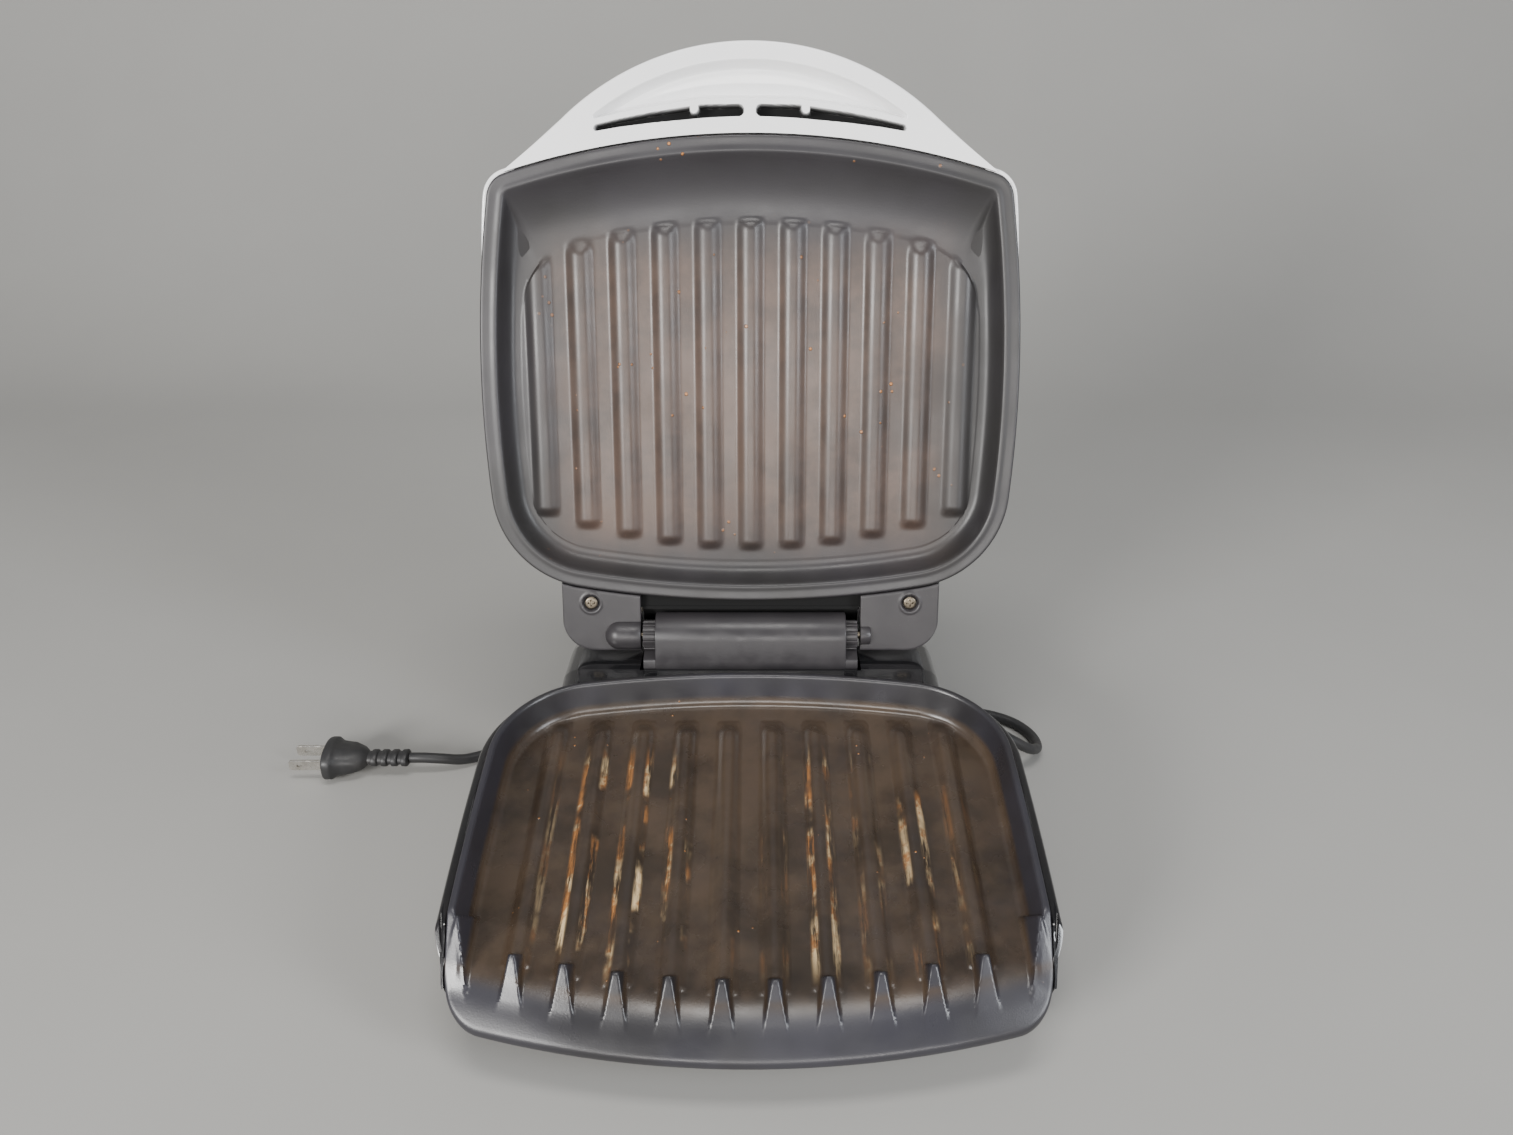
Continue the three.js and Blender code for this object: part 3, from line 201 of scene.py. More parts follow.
@dataclass
class Form:
    """A closed mesh in the making: vertices in metres, four-sided faces and flat end caps.

    Attributes:
        points: Vertices, one per row.
        quads: Vertex numbers of the four-sided faces.
        caps: Vertex numbers of each cap.
        marks: Named values per vertex for a finish to read.
    """

    points: Array
    quads: Array
    caps: list[Array] = field(default_factory=list)
    marks: dict[str, Array] = field(default_factory=dict)

    def turned_out(self) -> "Form":
        """The same form with its faces pointing outwards, told from the sign of the enclosed volume."""
        a, b, c, d = (self.points[self.quads[:, i]] for i in range(4))
        volume = np.einsum("ij,ij->", a, np.cross(b, c)) + np.einsum("ij,ij->", a, np.cross(c, d))
        for cap in self.caps:
            ring = self.points[cap]
            volume += np.einsum("ij,ij->", ring[:1].repeat(len(ring) - 2, 0), np.cross(ring[1:-1], ring[2:]))
        if volume >= 0:
            return self
        return Form(self.points, self.quads[:, ::-1], [cap[::-1] for cap in self.caps], self.marks)

    def joined(self, *others: "Form") -> "Form":
        """This form and others as one mesh of several closed parts."""
        points, quads, caps = [self.points], [self.quads], list(self.caps)
        marks = {name: [values] for name, values in self.marks.items()}
        count = len(self.points)
        for other in others:
            points.append(other.points)
            quads.append(other.quads + count)
            caps += [cap + count for cap in other.caps]
            for name, values in marks.items():
                values.append(other.marks.get(name, np.zeros(len(other.points))))
            count += len(other.points)
        joined_marks = {name: np.concatenate(values) for name, values in marks.items()}
        return Form(np.concatenate(points), np.concatenate(quads), caps, joined_marks)

    def mesh(self, name: str, crease: float) -> bpy.types.Object:
        """Writes the form to a Blender object at the origin.

        Args:
            name: Name of the object.
            crease: Angle in degrees over which an edge is shaded sharp.

        Returns:
            The object, linked to the scene.
        """
        mesh = bpy.data.meshes.new(name)
        mesh.vertices.add(len(self.points))
        mesh.vertices.foreach_set("co", self.points.astype(np.float32).ravel())
        loops = np.concatenate([self.quads.ravel(), *self.caps]).astype(np.int32)
        totals = np.concatenate([np.full(len(self.quads), 4),
                                 [len(cap) for cap in self.caps]]).astype(np.int32)
        mesh.loops.add(len(loops))
        mesh.loops.foreach_set("vertex_index", loops)
        mesh.polygons.add(len(totals))
        mesh.polygons.foreach_set("loop_start",
                                  np.concatenate([[0], np.cumsum(totals)[:-1]]).astype(np.int32))
        mesh.polygons.foreach_set("use_smooth", np.ones(len(totals), bool))
        mesh.update(calc_edges=True)
        mesh.validate()
        mesh.set_sharp_from_angle(angle=math.radians(crease))
        for mark, values in self.marks.items():
            attribute = mesh.attributes.new(mark, "FLOAT", "POINT")
            attribute.data.foreach_set("value", values.astype(np.float32))
        piece = bpy.data.objects.new(name, mesh)
        bpy.context.scene.collection.objects.link(piece)
        return piece


def loft(rows: Array, closed: bool = False) -> Form:
    """A closed form through rings of equal count.

    Each ring is joined to the next by four-sided faces. The first and last ring get a flat cap, or are
    joined to each other.

    Args:
        rows: Rings by points by 3, in metres.
        closed: Whether the last ring joins the first instead of being capped.

    Returns:
        The form, facing outwards.
    """
    count, around = rows.shape[:2]
    ids = np.arange(count * around).reshape(count, around)
    pairs = [(ids[i], ids[i + 1]) for i in range(count - 1)]
    if closed:
        pairs.append((ids[-1], ids[0]))
    quads = np.concatenate([quad_strip(lower, upper) for lower, upper in pairs])
    caps = [] if closed else [ids[0][::-1], ids[-1]]
    return Form(rows.reshape(-1, 3), quads, caps).turned_out()


def revolve(profile: Sequence[Sequence[float]], start: Array, axis: Array, sides: int = 32,
            flatness: float = 1.0) -> Form:
    """A turned form: the (radius, reach) profile carried round an axis.

    A point is start + reach axis + radius (cos a u + flatness sin a v), for a round the full turn.

    Args:
        profile: Pairs of radius and reach along the axis, in the units of start.
        start: Point on the axis.
        axis: Direction of the axis.
        sides: Points round the turn.
        flatness: Squash across the upper direction.

    Returns:
        The form in the units of start.
    """
    axis = np.asarray(axis, float) / np.linalg.norm(axis)
    beside = np.cross(axis, [0.0, 0.0, 1.0] if abs(axis[2]) < 0.9 else [0.0, 1.0, 0.0])
    beside /= np.linalg.norm(beside)
    upper = np.cross(beside, axis)
    turns = np.arange(sides) * 2.0 * math.pi / sides
    circle = np.cos(turns)[:, None] * beside + flatness * np.sin(turns)[:, None] * upper
    radius, reach = np.asarray(profile, float).T
    rows = np.asarray(start, float) + reach[:, None, None] * axis + radius[:, None, None] * circle
    return loft(rows)


def placed(form: Form, placement: Placement) -> Form:
    """A form in millimetres, carried to its place in metres."""
    return Form(placement.place(form.points), form.quads, form.caps, form.marks).turned_out()


def rounded_loop(corners: Sequence[Sequence[float]], radii: Sequence[float], steps: int = 6) -> Array:
    """A closed outline with round corners.

    Each corner is replaced by an arc that touches both of its sides, radius / tan(half the corner) from it.

    Args:
        corners: Corner points in order.
        radii: A radius for each corner.
        steps: Points on each arc.

    Returns:
        The outline's points.
    """
    points = np.asarray(corners, float)
    out = []
    for i, radius in enumerate(radii):
        corner = points[i]
        back = points[i - 1] - corner
        ahead = points[(i + 1) % len(points)] - corner
        back /= np.linalg.norm(back)
        ahead /= np.linalg.norm(ahead)
        half = math.acos(np.clip(back @ ahead, -1.0, 1.0)) / 2.0
        middle = back + ahead
        centre = corner + middle / np.linalg.norm(middle) * radius / math.sin(half)
        begin = corner + back * radius / math.tan(half) - centre
        end = corner + ahead * radius / math.tan(half) - centre
        first = math.atan2(begin[1], begin[0])
        sweep = (math.atan2(end[1], end[0]) - first + math.pi) % (2.0 * math.pi) - math.pi
        turns = first + sweep * np.linspace(0.0, 1.0, steps)
        out.append(centre + radius * np.stack([np.cos(turns), np.sin(turns)], axis=-1))
    return np.concatenate(out)


def loop_normals(loop: Array) -> Array:
    """Unit vectors square to a closed outline, pointing out of it, from its neighbours' chord."""
    chord = np.roll(loop, -1, axis=0) - np.roll(loop, 1, axis=0)
    normal = np.stack([chord[:, 1], -chord[:, 0]], axis=-1)
    normal /= np.linalg.norm(normal, axis=1, keepdims=True)
    x, y = loop.T
    area = np.sum(x * np.roll(y, -1) - np.roll(x, -1) * y)
    return normal * np.sign(area)


class Axis(Enum):
    """The direction that a bar is drawn out in, as the order of (first, second, drawn) coordinates."""

    X = (1, 2, 0)
    Y = (0, 2, 1)
    Z = (0, 1, 2)


def bar(loop: Array, start: float, end: float, axis: Axis, edge: float = 0.6) -> Form:
    """An outline drawn out straight, with round edges at both ends.

    Near each end the outline is drawn in by edge (1 - sin a) while it advances by edge (1 - cos a).

    Args:
        loop: Closed outline in the plane square to the axis, in millimetres.
        start: First end along the axis.
        end: Other end.
        axis: Direction of the bar.
        edge: Radius of the ends' edges.

    Returns:
        The form in millimetres.
    """
    normals = loop_normals(loop)
    turns = np.linspace(0.0, math.pi / 2.0, 4)
    inset = edge * (1.0 - np.sin(turns))
    advance = edge * (1.0 - np.cos(turns))
    insets = np.concatenate([inset, inset[::-1]])
    places = np.concatenate([start + advance, end - advance[::-1]])
    rows = np.empty((len(places), len(loop), 3))
    first, second, drawn = axis.value
    flat = loop[None] - normals[None] * insets[:, None, None]
    rows[..., first] = flat[..., 0]
    rows[..., second] = flat[..., 1]
    rows[..., drawn] = places[:, None]
    return loft(rows)


def smooth_path(route: Array, count: int) -> Array:
    """A smooth line through points, at equal steps along it.

    Between points it is the Catmull-Rom curve with knots spaced by the square root of the chords, the same
    curve that the model's cord follows.

    Args:
        route: Points by 3.
        count: Number of points wanted.

    Returns:
        The line's points.
    """
    ends = [2 * route[0] - route[1], *route, 2 * route[-1] - route[-2]]
    pieces = []
    t = np.linspace(0.0, 1.0, 24, endpoint=False)[:, None]
    for p0, p1, p2, p3 in zip(ends, ends[1:], ends[2:], ends[3:]):
        d0, d1, d2 = (math.sqrt(np.linalg.norm(b - a)) for a, b in ((p0, p1), (p1, p2), (p2, p3)))
        m1 = ((p1 - p0) / d0 - (p2 - p0) / (d0 + d1) + (p2 - p1) / d1) * d1
        m2 = ((p2 - p1) / d1 - (p3 - p1) / (d1 + d2) + (p3 - p2) / d2) * d1
        pieces.append((2 * t**3 - 3 * t**2 + 1) * p1 + (t**3 - 2 * t**2 + t) * m1
                      + (3 * t**2 - 2 * t**3) * p2 + (t**3 - t**2) * m2)
    line = np.concatenate([*pieces, route[-1:]])
    reach = np.concatenate([[0.0], np.cumsum(np.linalg.norm(np.diff(line, axis=0), axis=1))])
    wanted = np.linspace(0.0, reach[-1], count)
    return np.stack([np.interp(wanted, reach, line[:, i]) for i in range(3)], axis=-1)


def sweep(path: Array, radii: Array, sides: int = 20) -> Form:
    """A round form along a path: a circle square to the path at each of its points.

    The circle's first direction is carried along by taking off its part along the path at every point.

    Args:
        path: Points of the centre line.
        radii: Radius at each point.
        sides: Points round the circle.

    Returns:
        The form in the path's units.
    """
    along = np.gradient(path, axis=0)
    along /= np.linalg.norm(along, axis=1, keepdims=True)
    beside = np.empty_like(path)
    last = np.cross(along[0], [0.0, 0.0, 1.0])
    for i, tangent in enumerate(along):
        last = last - tangent * (last @ tangent)
        last /= np.linalg.norm(last)
        beside[i] = last
    upper = np.cross(along, beside)
    turns = np.arange(sides) * 2.0 * math.pi / sides
    circle = np.cos(turns)[None, :, None] * beside[:, None] + np.sin(turns)[None, :, None] * upper[:, None]
    return loft(path[:, None] + circle * radii[:, None, None])


# ---- pan outlines


def circle_crossing(first: Array, first_radius: float, second: Array, second_radius: float,
                    towards: Array) -> Array:
    """The crossing of two circles that lies furthest towards a direction."""
    gap = second - first
    distance = float(np.linalg.norm(gap))
    reach = (distance**2 + first_radius**2 - second_radius**2) / (2.0 * distance)
    rise = math.sqrt(first_radius**2 - reach**2)
    unit = gap / distance
    normal = np.array([-unit[1], unit[0]]) * rise
    return first + unit * reach + (normal if normal @ towards > 0 else -normal)


@dataclass(frozen=True)
class Outline:
    """Points of a closed plan, anticlockwise from the left front corner, with their outward normals.

    Attributes:
        points: Plan points in millimetres.
        normals: Unit normals.
        across: Steps along the front, and along the rear.
        along: Steps up each side.
    """

    points: Array
    normals: Array
    across: int
    along: int

    def ring(self, offset: float | Array, height: float | Array, scale: float = 1.0) -> Array:
        """The plan moved out by offset, shrunk by scale and set at a height."""
        flat = (self.points + self.normals * np.reshape(offset, (-1, 1))) * scale
        return np.column_stack([flat, np.broadcast_to(height, len(flat))])


@dataclass(frozen=True)
class PanPlan:
    """A pan's plan: shallow arcs at the front, the sides and the rear, joined by round corners."""

    half_width: float
    front: float
    rear: float
    front_radius: float
    rear_radius: float
    side_radius: float
    front_corner: float
    rear_corner: float

    def sampled(self, across: int, along: int, dense: float = 0.0, reach: float = 0.1) -> Outline:
        """Points round the plan, split at the middle of each round corner.

        The right half is traced as five tangent arcs by their bearing, mirrored for the left half, and read
        off at equal steps across and at crowded steps along the sides.

        Args:
            across: Steps along the front and the rear.
            along: Steps up each side.
            dense: How much finer the steps are near the front.
            reach: How far the fine part reaches, as a fraction of the side.

        Returns:
            The outline.
        """
        front = np.array([0.0, self.front + self.front_radius])
        side = np.array([self.half_width - self.side_radius, 0.0])
        rear = np.array([0.0, self.rear - self.rear_radius])
        front_round = circle_crossing(side, self.side_radius - self.front_corner,
                                      front, self.front_radius - self.front_corner, np.array([1.0, -1.0]))
        rear_round = circle_crossing(side, self.side_radius - self.rear_corner,
                                     rear, self.rear_radius - self.rear_corner, np.array([1.0, 1.0]))
        turns = [-math.pi / 2.0]
        for start, end in ((front, front_round), (side, front_round), (side, rear_round), (rear, rear_round)):
            turns.append(math.atan2(*(end - start)[::-1]))
        turns.append(math.pi / 2.0)
        arcs = zip((front, front_round, side, rear_round, rear),
                   (self.front_radius, self.front_corner, self.side_radius, self.rear_corner,
                    self.rear_radius),
                   turns, turns[1:])
        points, angles, lengths = [], [], []
        walked = 0.0
        for centre, radius, begin, end in arcs:
            angle = np.linspace(begin, end, 200)
            points.append(centre + radius * np.stack([np.cos(angle), np.sin(angle)], axis=-1))
            angles.append(angle)
            lengths.append(walked + radius * np.abs(angle - begin))
            walked = lengths[-1][-1]
        half, angle, length = np.concatenate(points), np.concatenate(angles), np.concatenate(lengths)
        corner_one = float(np.mean(lengths[1]))
        corner_two = float(np.mean(lengths[3]))
        step = spaced(along, dense, reach)[:-1]
        even = np.linspace(0.0, 1.0, across + 1)[:-1]
        front_side = (2.0 * even - 1.0) * corner_one
        right_side = corner_one + (corner_two - corner_one) * step
        rear_side = corner_two + (2.0 * (walked - corner_two)) * even
        left_side = 2.0 * walked - corner_two + (corner_two - corner_one) * (1.0 - spaced(along, dense,
                                                                                          reach)[::-1])[:-1]
        where = np.concatenate([front_side, right_side, rear_side, left_side])
        mirrored = where > walked
        left = mirrored | (where < 0.0)
        folded = np.where(mirrored, 2.0 * walked - where, np.abs(where))
        sign = np.where(left, -1.0, 1.0)
        bearing = np.interp(folded, length, angle)
        flat = np.stack([np.interp(folded, length, half[:, 0]) * sign, np.interp(folded, length, half[:, 1])],
                        axis=-1)
        normals = np.stack([np.cos(bearing) * sign, np.sin(bearing)], axis=-1)
        return Outline(flat, normals, across, along)


def patch(ring: Array, across: int, along: int) -> Array:
    """A grid that fills a closed ring, with its edge on the ring.

    It is the sum of the two straight blends between opposite sides, less the blend of the four corners.

    Args:
        ring: Points by 2, from the left front corner.
        across: Steps along the front.
        along: Steps up a side.

    Returns:
        Grid of points: rows from the front to the rear, each from left to right.
    """
    front = ring[: across + 1]
    right = ring[across : across + along + 1]
    rear = ring[across + along : 2 * across + along + 1][::-1]
    left = np.concatenate([ring[2 * across + along :], ring[:1]])[::-1]
    u = np.linspace(0.0, 1.0, across + 1)[None, :, None]
    share = np.linalg.norm(left - left[0], axis=1) / np.linalg.norm(left[-1] - left[0])
    v = np.clip(share, 0.0, 1.0)[:, None, None]
    straight = (1 - v) * front[None] + v * rear[None] + (1 - u) * left[:, None] + u * right[:, None]
    corners = ((1 - u) * (1 - v) * front[0] + u * (1 - v) * front[-1]
               + (1 - u) * v * rear[0] + u * v * rear[-1])
    return straight - corners


def filled(rows: Array, inner: Array, outline: Outline) -> Form:
    """A pan: rings from the back over the rim to the floor's edge, closed by a grid over the floor.

    Args:
        rows: Rings by points by 3; the last is the floor's edge.
        inner: Grid of floor points by 3, whose edge lies on the last ring.
        outline: The plan, for its counts.

    Returns:
        The form in the units of rows, facing outwards.
    """
    count, around = rows.shape[:2]
    ids = np.arange(count * around).reshape(count, around)
    edge = ids[-1]
    across, along = outline.across, outline.along
    grid = np.zeros((along + 1, across + 1), int)
    grid[0] = edge[: across + 1]
    grid[:, -1] = edge[across : across + along + 1]
    grid[-1] = edge[across + along : 2 * across + along + 1][::-1]
    grid[:, 0] = np.concatenate([edge[2 * across + along :], edge[:1]])[::-1]
    inside = inner[1:-1, 1:-1]
    grid[1:-1, 1:-1] = count * around + np.arange(inside.shape[0] * inside.shape[1]).reshape(inside.shape[:2])
    quads = [quad_strip(ids[i], ids[i + 1]) for i in range(count - 1)]
    points = np.concatenate([rows.reshape(-1, 3), inside.reshape(-1, 3)])
    return Form(points, np.concatenate([*quads, quad_grid(grid)]), [ids[0][::-1]]).turned_out()


# ---- finishes

Colour = tuple[float, float, float]
Feed = bpy.types.NodeSocket | float | Colour


class Shading:
    """Short calls that add shader nodes to one material around a Principled shader."""

    def __init__(self, name: str) -> None:
        """Starts an empty material with its shader and output."""
        self.material = bpy.data.materials.new(name)
        self.material.use_nodes = True
        self.tree = self.material.node_tree
        self.tree.nodes.clear()
        self.shader = self.node("ShaderNodeBsdfPrincipled")
        output = self.node("ShaderNodeOutputMaterial")
        self.tree.links.new(self.shader.outputs["BSDF"], output.inputs["Surface"])
        self.place = self.node("ShaderNodeTexCoord").outputs["Object"]

    def node(self, kind: str, **settings: object) -> bpy.types.Node:
        """Adds a node and sets its properties."""
        added = self.tree.nodes.new(kind)
        for name, value in settings.items():
            setattr(added, name, value)
        return added

    def feed(self, socket: bpy.types.NodeSocket, value: Feed) -> None:
        """Links a socket, or sets a number or colour on it."""
        if isinstance(value, bpy.types.NodeSocket):
            self.tree.links.new(value, socket)
        elif isinstance(value, tuple) and len(socket.default_value) == 4:
            socket.default_value = (*value, 1.0)
        else:
            socket.default_value = value

    def set(self, **values: Feed) -> None:
        """Feeds the shader's sockets; an underscore in a name stands for a space."""
        for name, value in values.items():
            self.feed(self.shader.inputs[name.replace("_", " ")], value)

    def stretched(self, scale: Colour, turn: Colour = (0.0, 0.0, 0.0)) -> bpy.types.NodeSocket:
        """Object coordinates, turned and then stretched, for a pattern with a direction."""
        turned = self.node("ShaderNodeMapping", vector_type="TEXTURE")
        self.tree.links.new(self.place, turned.inputs["Vector"])
        turned.inputs["Rotation"].default_value = turn
        mapped = self.node("ShaderNodeMapping")
        self.tree.links.new(turned.outputs["Vector"], mapped.inputs["Vector"])
        mapped.inputs["Scale"].default_value = scale
        return mapped.outputs["Vector"]

    def noise(self, scale: float, detail: float = 3.0, roughness: float = 0.55,
              vector: Optional[bpy.types.NodeSocket] = None) -> bpy.types.NodeSocket:
        """Fractal noise from 0 to 1; scale is in waves per metre."""
        node = self.node("ShaderNodeTexNoise")
        self.tree.links.new(vector or self.place, node.inputs["Vector"])
        node.inputs["Scale"].default_value = scale
        node.inputs["Detail"].default_value = detail
        node.inputs["Roughness"].default_value = roughness
        return node.outputs["Fac"]

    def cells(self, scale: float, vector: Optional[bpy.types.NodeSocket] = None) -> bpy.types.NodeSocket:
        """Distance to the nearest of scattered points, for specks."""
        node = self.node("ShaderNodeTexVoronoi")
        self.tree.links.new(vector or self.place, node.inputs["Vector"])
        node.inputs["Scale"].default_value = scale
        return node.outputs["Distance"]

    def attribute(self, name: str) -> bpy.types.NodeSocket:
        """A value stored on the mesh's vertices."""
        return self.node("ShaderNodeAttribute", attribute_name=name).outputs["Fac"]

    def math(self, operation: str, *values: Feed) -> bpy.types.NodeSocket:
        """A Math node."""
        node = self.node("ShaderNodeMath", operation=operation)
        for socket, value in zip(node.inputs, values):
            self.feed(socket, value)
        return node.outputs["Value"]

    def between(self, value: Feed, low: float, high: float, start: float = 0.0,
                end: float = 1.0) -> bpy.types.NodeSocket:
        """A value's range from low to high carried smoothly to start and end."""
        node = self.node("ShaderNodeMapRange", interpolation_type="SMOOTHSTEP")
        for socket, number in zip(node.inputs, (value, low, high, start, end)):
            self.feed(socket, number)
        return node.outputs["Result"]

    def mixed(self, share: Feed, first: Feed, second: Feed) -> bpy.types.NodeSocket:
        """Two colours mixed."""
        node = self.node("ShaderNodeMix", data_type="RGBA")
        self.feed(node.inputs["Factor"], share)
        colours = [socket for socket in node.inputs if socket.type == "RGBA"]
        self.feed(colours[0], first)
        self.feed(colours[1], second)
        return next(socket for socket in node.outputs if socket.type == "RGBA")

    def relief(self, height: bpy.types.NodeSocket, depth: float,
               under: Optional[bpy.types.NodeSocket] = None) -> bpy.types.NodeSocket:
        """A bump of the given depth in metres, over another one if given."""
        node = self.node("ShaderNodeBump")
        node.inputs["Distance"].default_value = depth
        self.tree.links.new(height, node.inputs["Height"])
        if under is not None:
            self.tree.links.new(under, node.inputs["Normal"])
        return node.outputs["Normal"]


@dataclass(frozen=True)
class Finish:
    """A moulded, painted or plated finish.

    Attributes:
        name: Name of the material.
        colour: Base colour, linear.
        tint: Colour that blotches shift towards.
        roughness: Mean roughness.
        spread: How far the roughness wanders.
        metallic: 0 or 1.
        coat: Weight of a clear gloss over the colour.
        grain: Waves per metre of the fine texture.
        depth: Depth of the fine texture in metres.
        blotch: Waves per metre of the blotches.
        dust: Share of pale specks.
        brushed: Stretch of the grain along X; 1 is even.
        shaded: Whether the mesh's painted_shade mark paints shade (near black, matte) into deep openings and
            shaded gaps.
    """

    name: str
    colour: Colour
    tint: Colour
    roughness: float
    spread: float = 0.08
    metallic: float = 0.0
    coat: float = 0.0
    grain: float = 900.0
    depth: float = 0.00002
    blotch: float = 25.0
    dust: float = 0.0
    brushed: float = 1.0
    shaded: bool = False

    def material(self) -> bpy.types.Material:
        """Builds the material: blotched colour, wandering roughness, fine relief, a few specks and, where the
        mesh carries the mark, painted shade.
        """
        shading = Shading(self.name)
        blotches = shading.noise(self.blotch, 4.0)
        colour = shading.mixed(shading.between(blotches, 0.35, 0.7), self.colour, self.tint)
        vector = shading.stretched((1.0 / self.brushed, 1.0, 1.0)) if self.brushed != 1.0 else None
        grain = shading.noise(self.grain, 2.0, vector=vector)
        rough = shading.between(shading.noise(self.blotch * 3.0, 3.0), 0.3, 0.7,
                                self.roughness - self.spread, self.roughness + self.spread)
        if self.dust > 0.0:
            specks = shading.between(shading.cells(420.0), 0.02 + self.dust, 0.02)
            specks = shading.math("MULTIPLY", specks, shading.between(shading.noise(60.0), 0.5, 0.62))
            colour = shading.mixed(shading.math("MULTIPLY", specks, 0.5), colour, (0.32, 0.30, 0.27))
            rough = shading.math("ADD", rough, shading.math("MULTIPLY", specks, 0.3))
        if self.shaded:
            # painted shade: the mark mixes the colour to near black and the roughness to matte, standing in
            # for the shade inside openings and gaps
            painted_shade = shading.attribute("painted_shade")
            colour = shading.mixed(painted_shade, colour, (0.002, 0.002, 0.002))
            rough = shading.math("MAXIMUM", rough, painted_shade)
        shading.set(Base_Color=colour, Roughness=rough, Metallic=self.metallic, Coat_Weight=self.coat,
                    Coat_Roughness=0.06, Normal=shading.relief(grain, self.depth))
        return shading.material


@dataclass(frozen=True)
class CoatedAluminium:
    """Dark non-stick coating on cast aluminium, with a film of browned oil and burnt-on food.

    The mesh carries three marks: film (where oil has browned), crust (where residue gathers along the ribs)
    and edge (worn or wet edges that catch the light).

    Attributes:
        name: Name of the material.
        coating: Clean coating.
        violet: Cooler coating on the walls and lip.
        film: Browned oil.
        crust: Burnt residue.
        fat: Pale, set fat in the crust.
        roughness: Roughness of the clean coating.
        crumbs: Size threshold of scattered crumbs.
    """

    name: str
    coating: Colour = (0.018, 0.017, 0.019)
    violet: Colour = (0.027, 0.026, 0.033)
    film: Colour = (0.060, 0.041, 0.027)
    crust: Colour = (0.42, 0.17, 0.045)
    fat: Colour = (0.75, 0.55, 0.30)
    roughness: float = 0.33
    crumbs: float = 0.05

    def material(self) -> bpy.types.Material:
        """Builds the material."""
        shading = Shading(self.name)
        film_mark = shading.attribute("film")
        crust_mark = shading.attribute("crust")
        edge_mark = shading.attribute("edge")
        clean = shading.mixed(shading.between(shading.noise(14.0, 3.0), 0.35, 0.65), self.coating,
                              self.violet)
        patchy = shading.math("MULTIPLY", film_mark,
                              shading.between(shading.noise(30.0, 5.0, 0.65), 0.15, 0.6, 0.55, 1.0))
        browned = shading.mixed(shading.between(shading.noise(24.0, 5.0, 0.65), 0.35, 0.65), self.film,
                                tuple(0.45 * part for part in self.film))
        colour = shading.mixed(patchy, clean, browned)
        drawn = shading.stretched((1.0, 0.09, 1.0), (SLOPE, 0.0, 0.0))
        strands = shading.noise(260.0, 5.0, 0.7, drawn)
        thick = shading.math("MULTIPLY", crust_mark,
                             shading.between(shading.noise(20.0, 4.0, 0.6), 0.47, 0.58))
        crust = shading.math("MULTIPLY", thick, shading.between(strands, 0.42, 0.58))
        residue = shading.mixed(shading.between(shading.noise(48.0, 5.0, 0.7), 0.46, 0.58), self.crust,
                                self.fat)
        colour = shading.mixed(crust, colour, residue)
        crumb = shading.between(shading.cells(150.0), self.crumbs + 0.05, self.crumbs - 0.02)
        crumb = shading.math("MULTIPLY", crumb, shading.between(shading.noise(45.0, 3.0), 0.56, 0.60))
        crumb = shading.math("MULTIPLY", crumb, shading.math("MAXIMUM", film_mark, edge_mark))
        colour = shading.mixed(crumb, colour, self.crust)
        rough = shading.between(shading.noise(22.0, 5.0, 0.6), 0.3, 0.7, self.roughness - 0.06,
                                self.roughness + 0.07)
        rough = shading.math("SUBTRACT", rough, shading.math("MULTIPLY", patchy, 0.06))
        rough = shading.math("ADD", rough, shading.math("MULTIPLY", crust, 0.25))
        spatter = shading.relief(shading.noise(1400.0, 2.0), 0.00003)
        build_up = shading.math("MAXIMUM", crust, crumb)
        shading.set(Base_Color=colour, Roughness=rough, Metallic=0.0, Specular_IOR_Level=0.62,
                    Normal=shading.relief(build_up, 0.0004, spatter))
        return shading.material


@dataclass(frozen=True)
class ClearLens:
    """Moulded amber lens with a soft glow of colour."""

    name: str
    colour: Colour = (0.62, 0.11, 0.015)

    def material(self) -> bpy.types.Material:
        """Builds the material: a deep colour under a clear coat, with fine moulding waves."""
        shading = Shading(self.name)
        colour = shading.mixed(shading.noise(300.0), self.colour, (0.35, 0.04, 0.008))
        shading.set(Base_Color=colour, Roughness=0.12, Coat_Weight=0.8, Coat_Roughness=0.03,
                    Normal=shading.relief(shading.noise(700.0), 0.00002))
        return shading.material


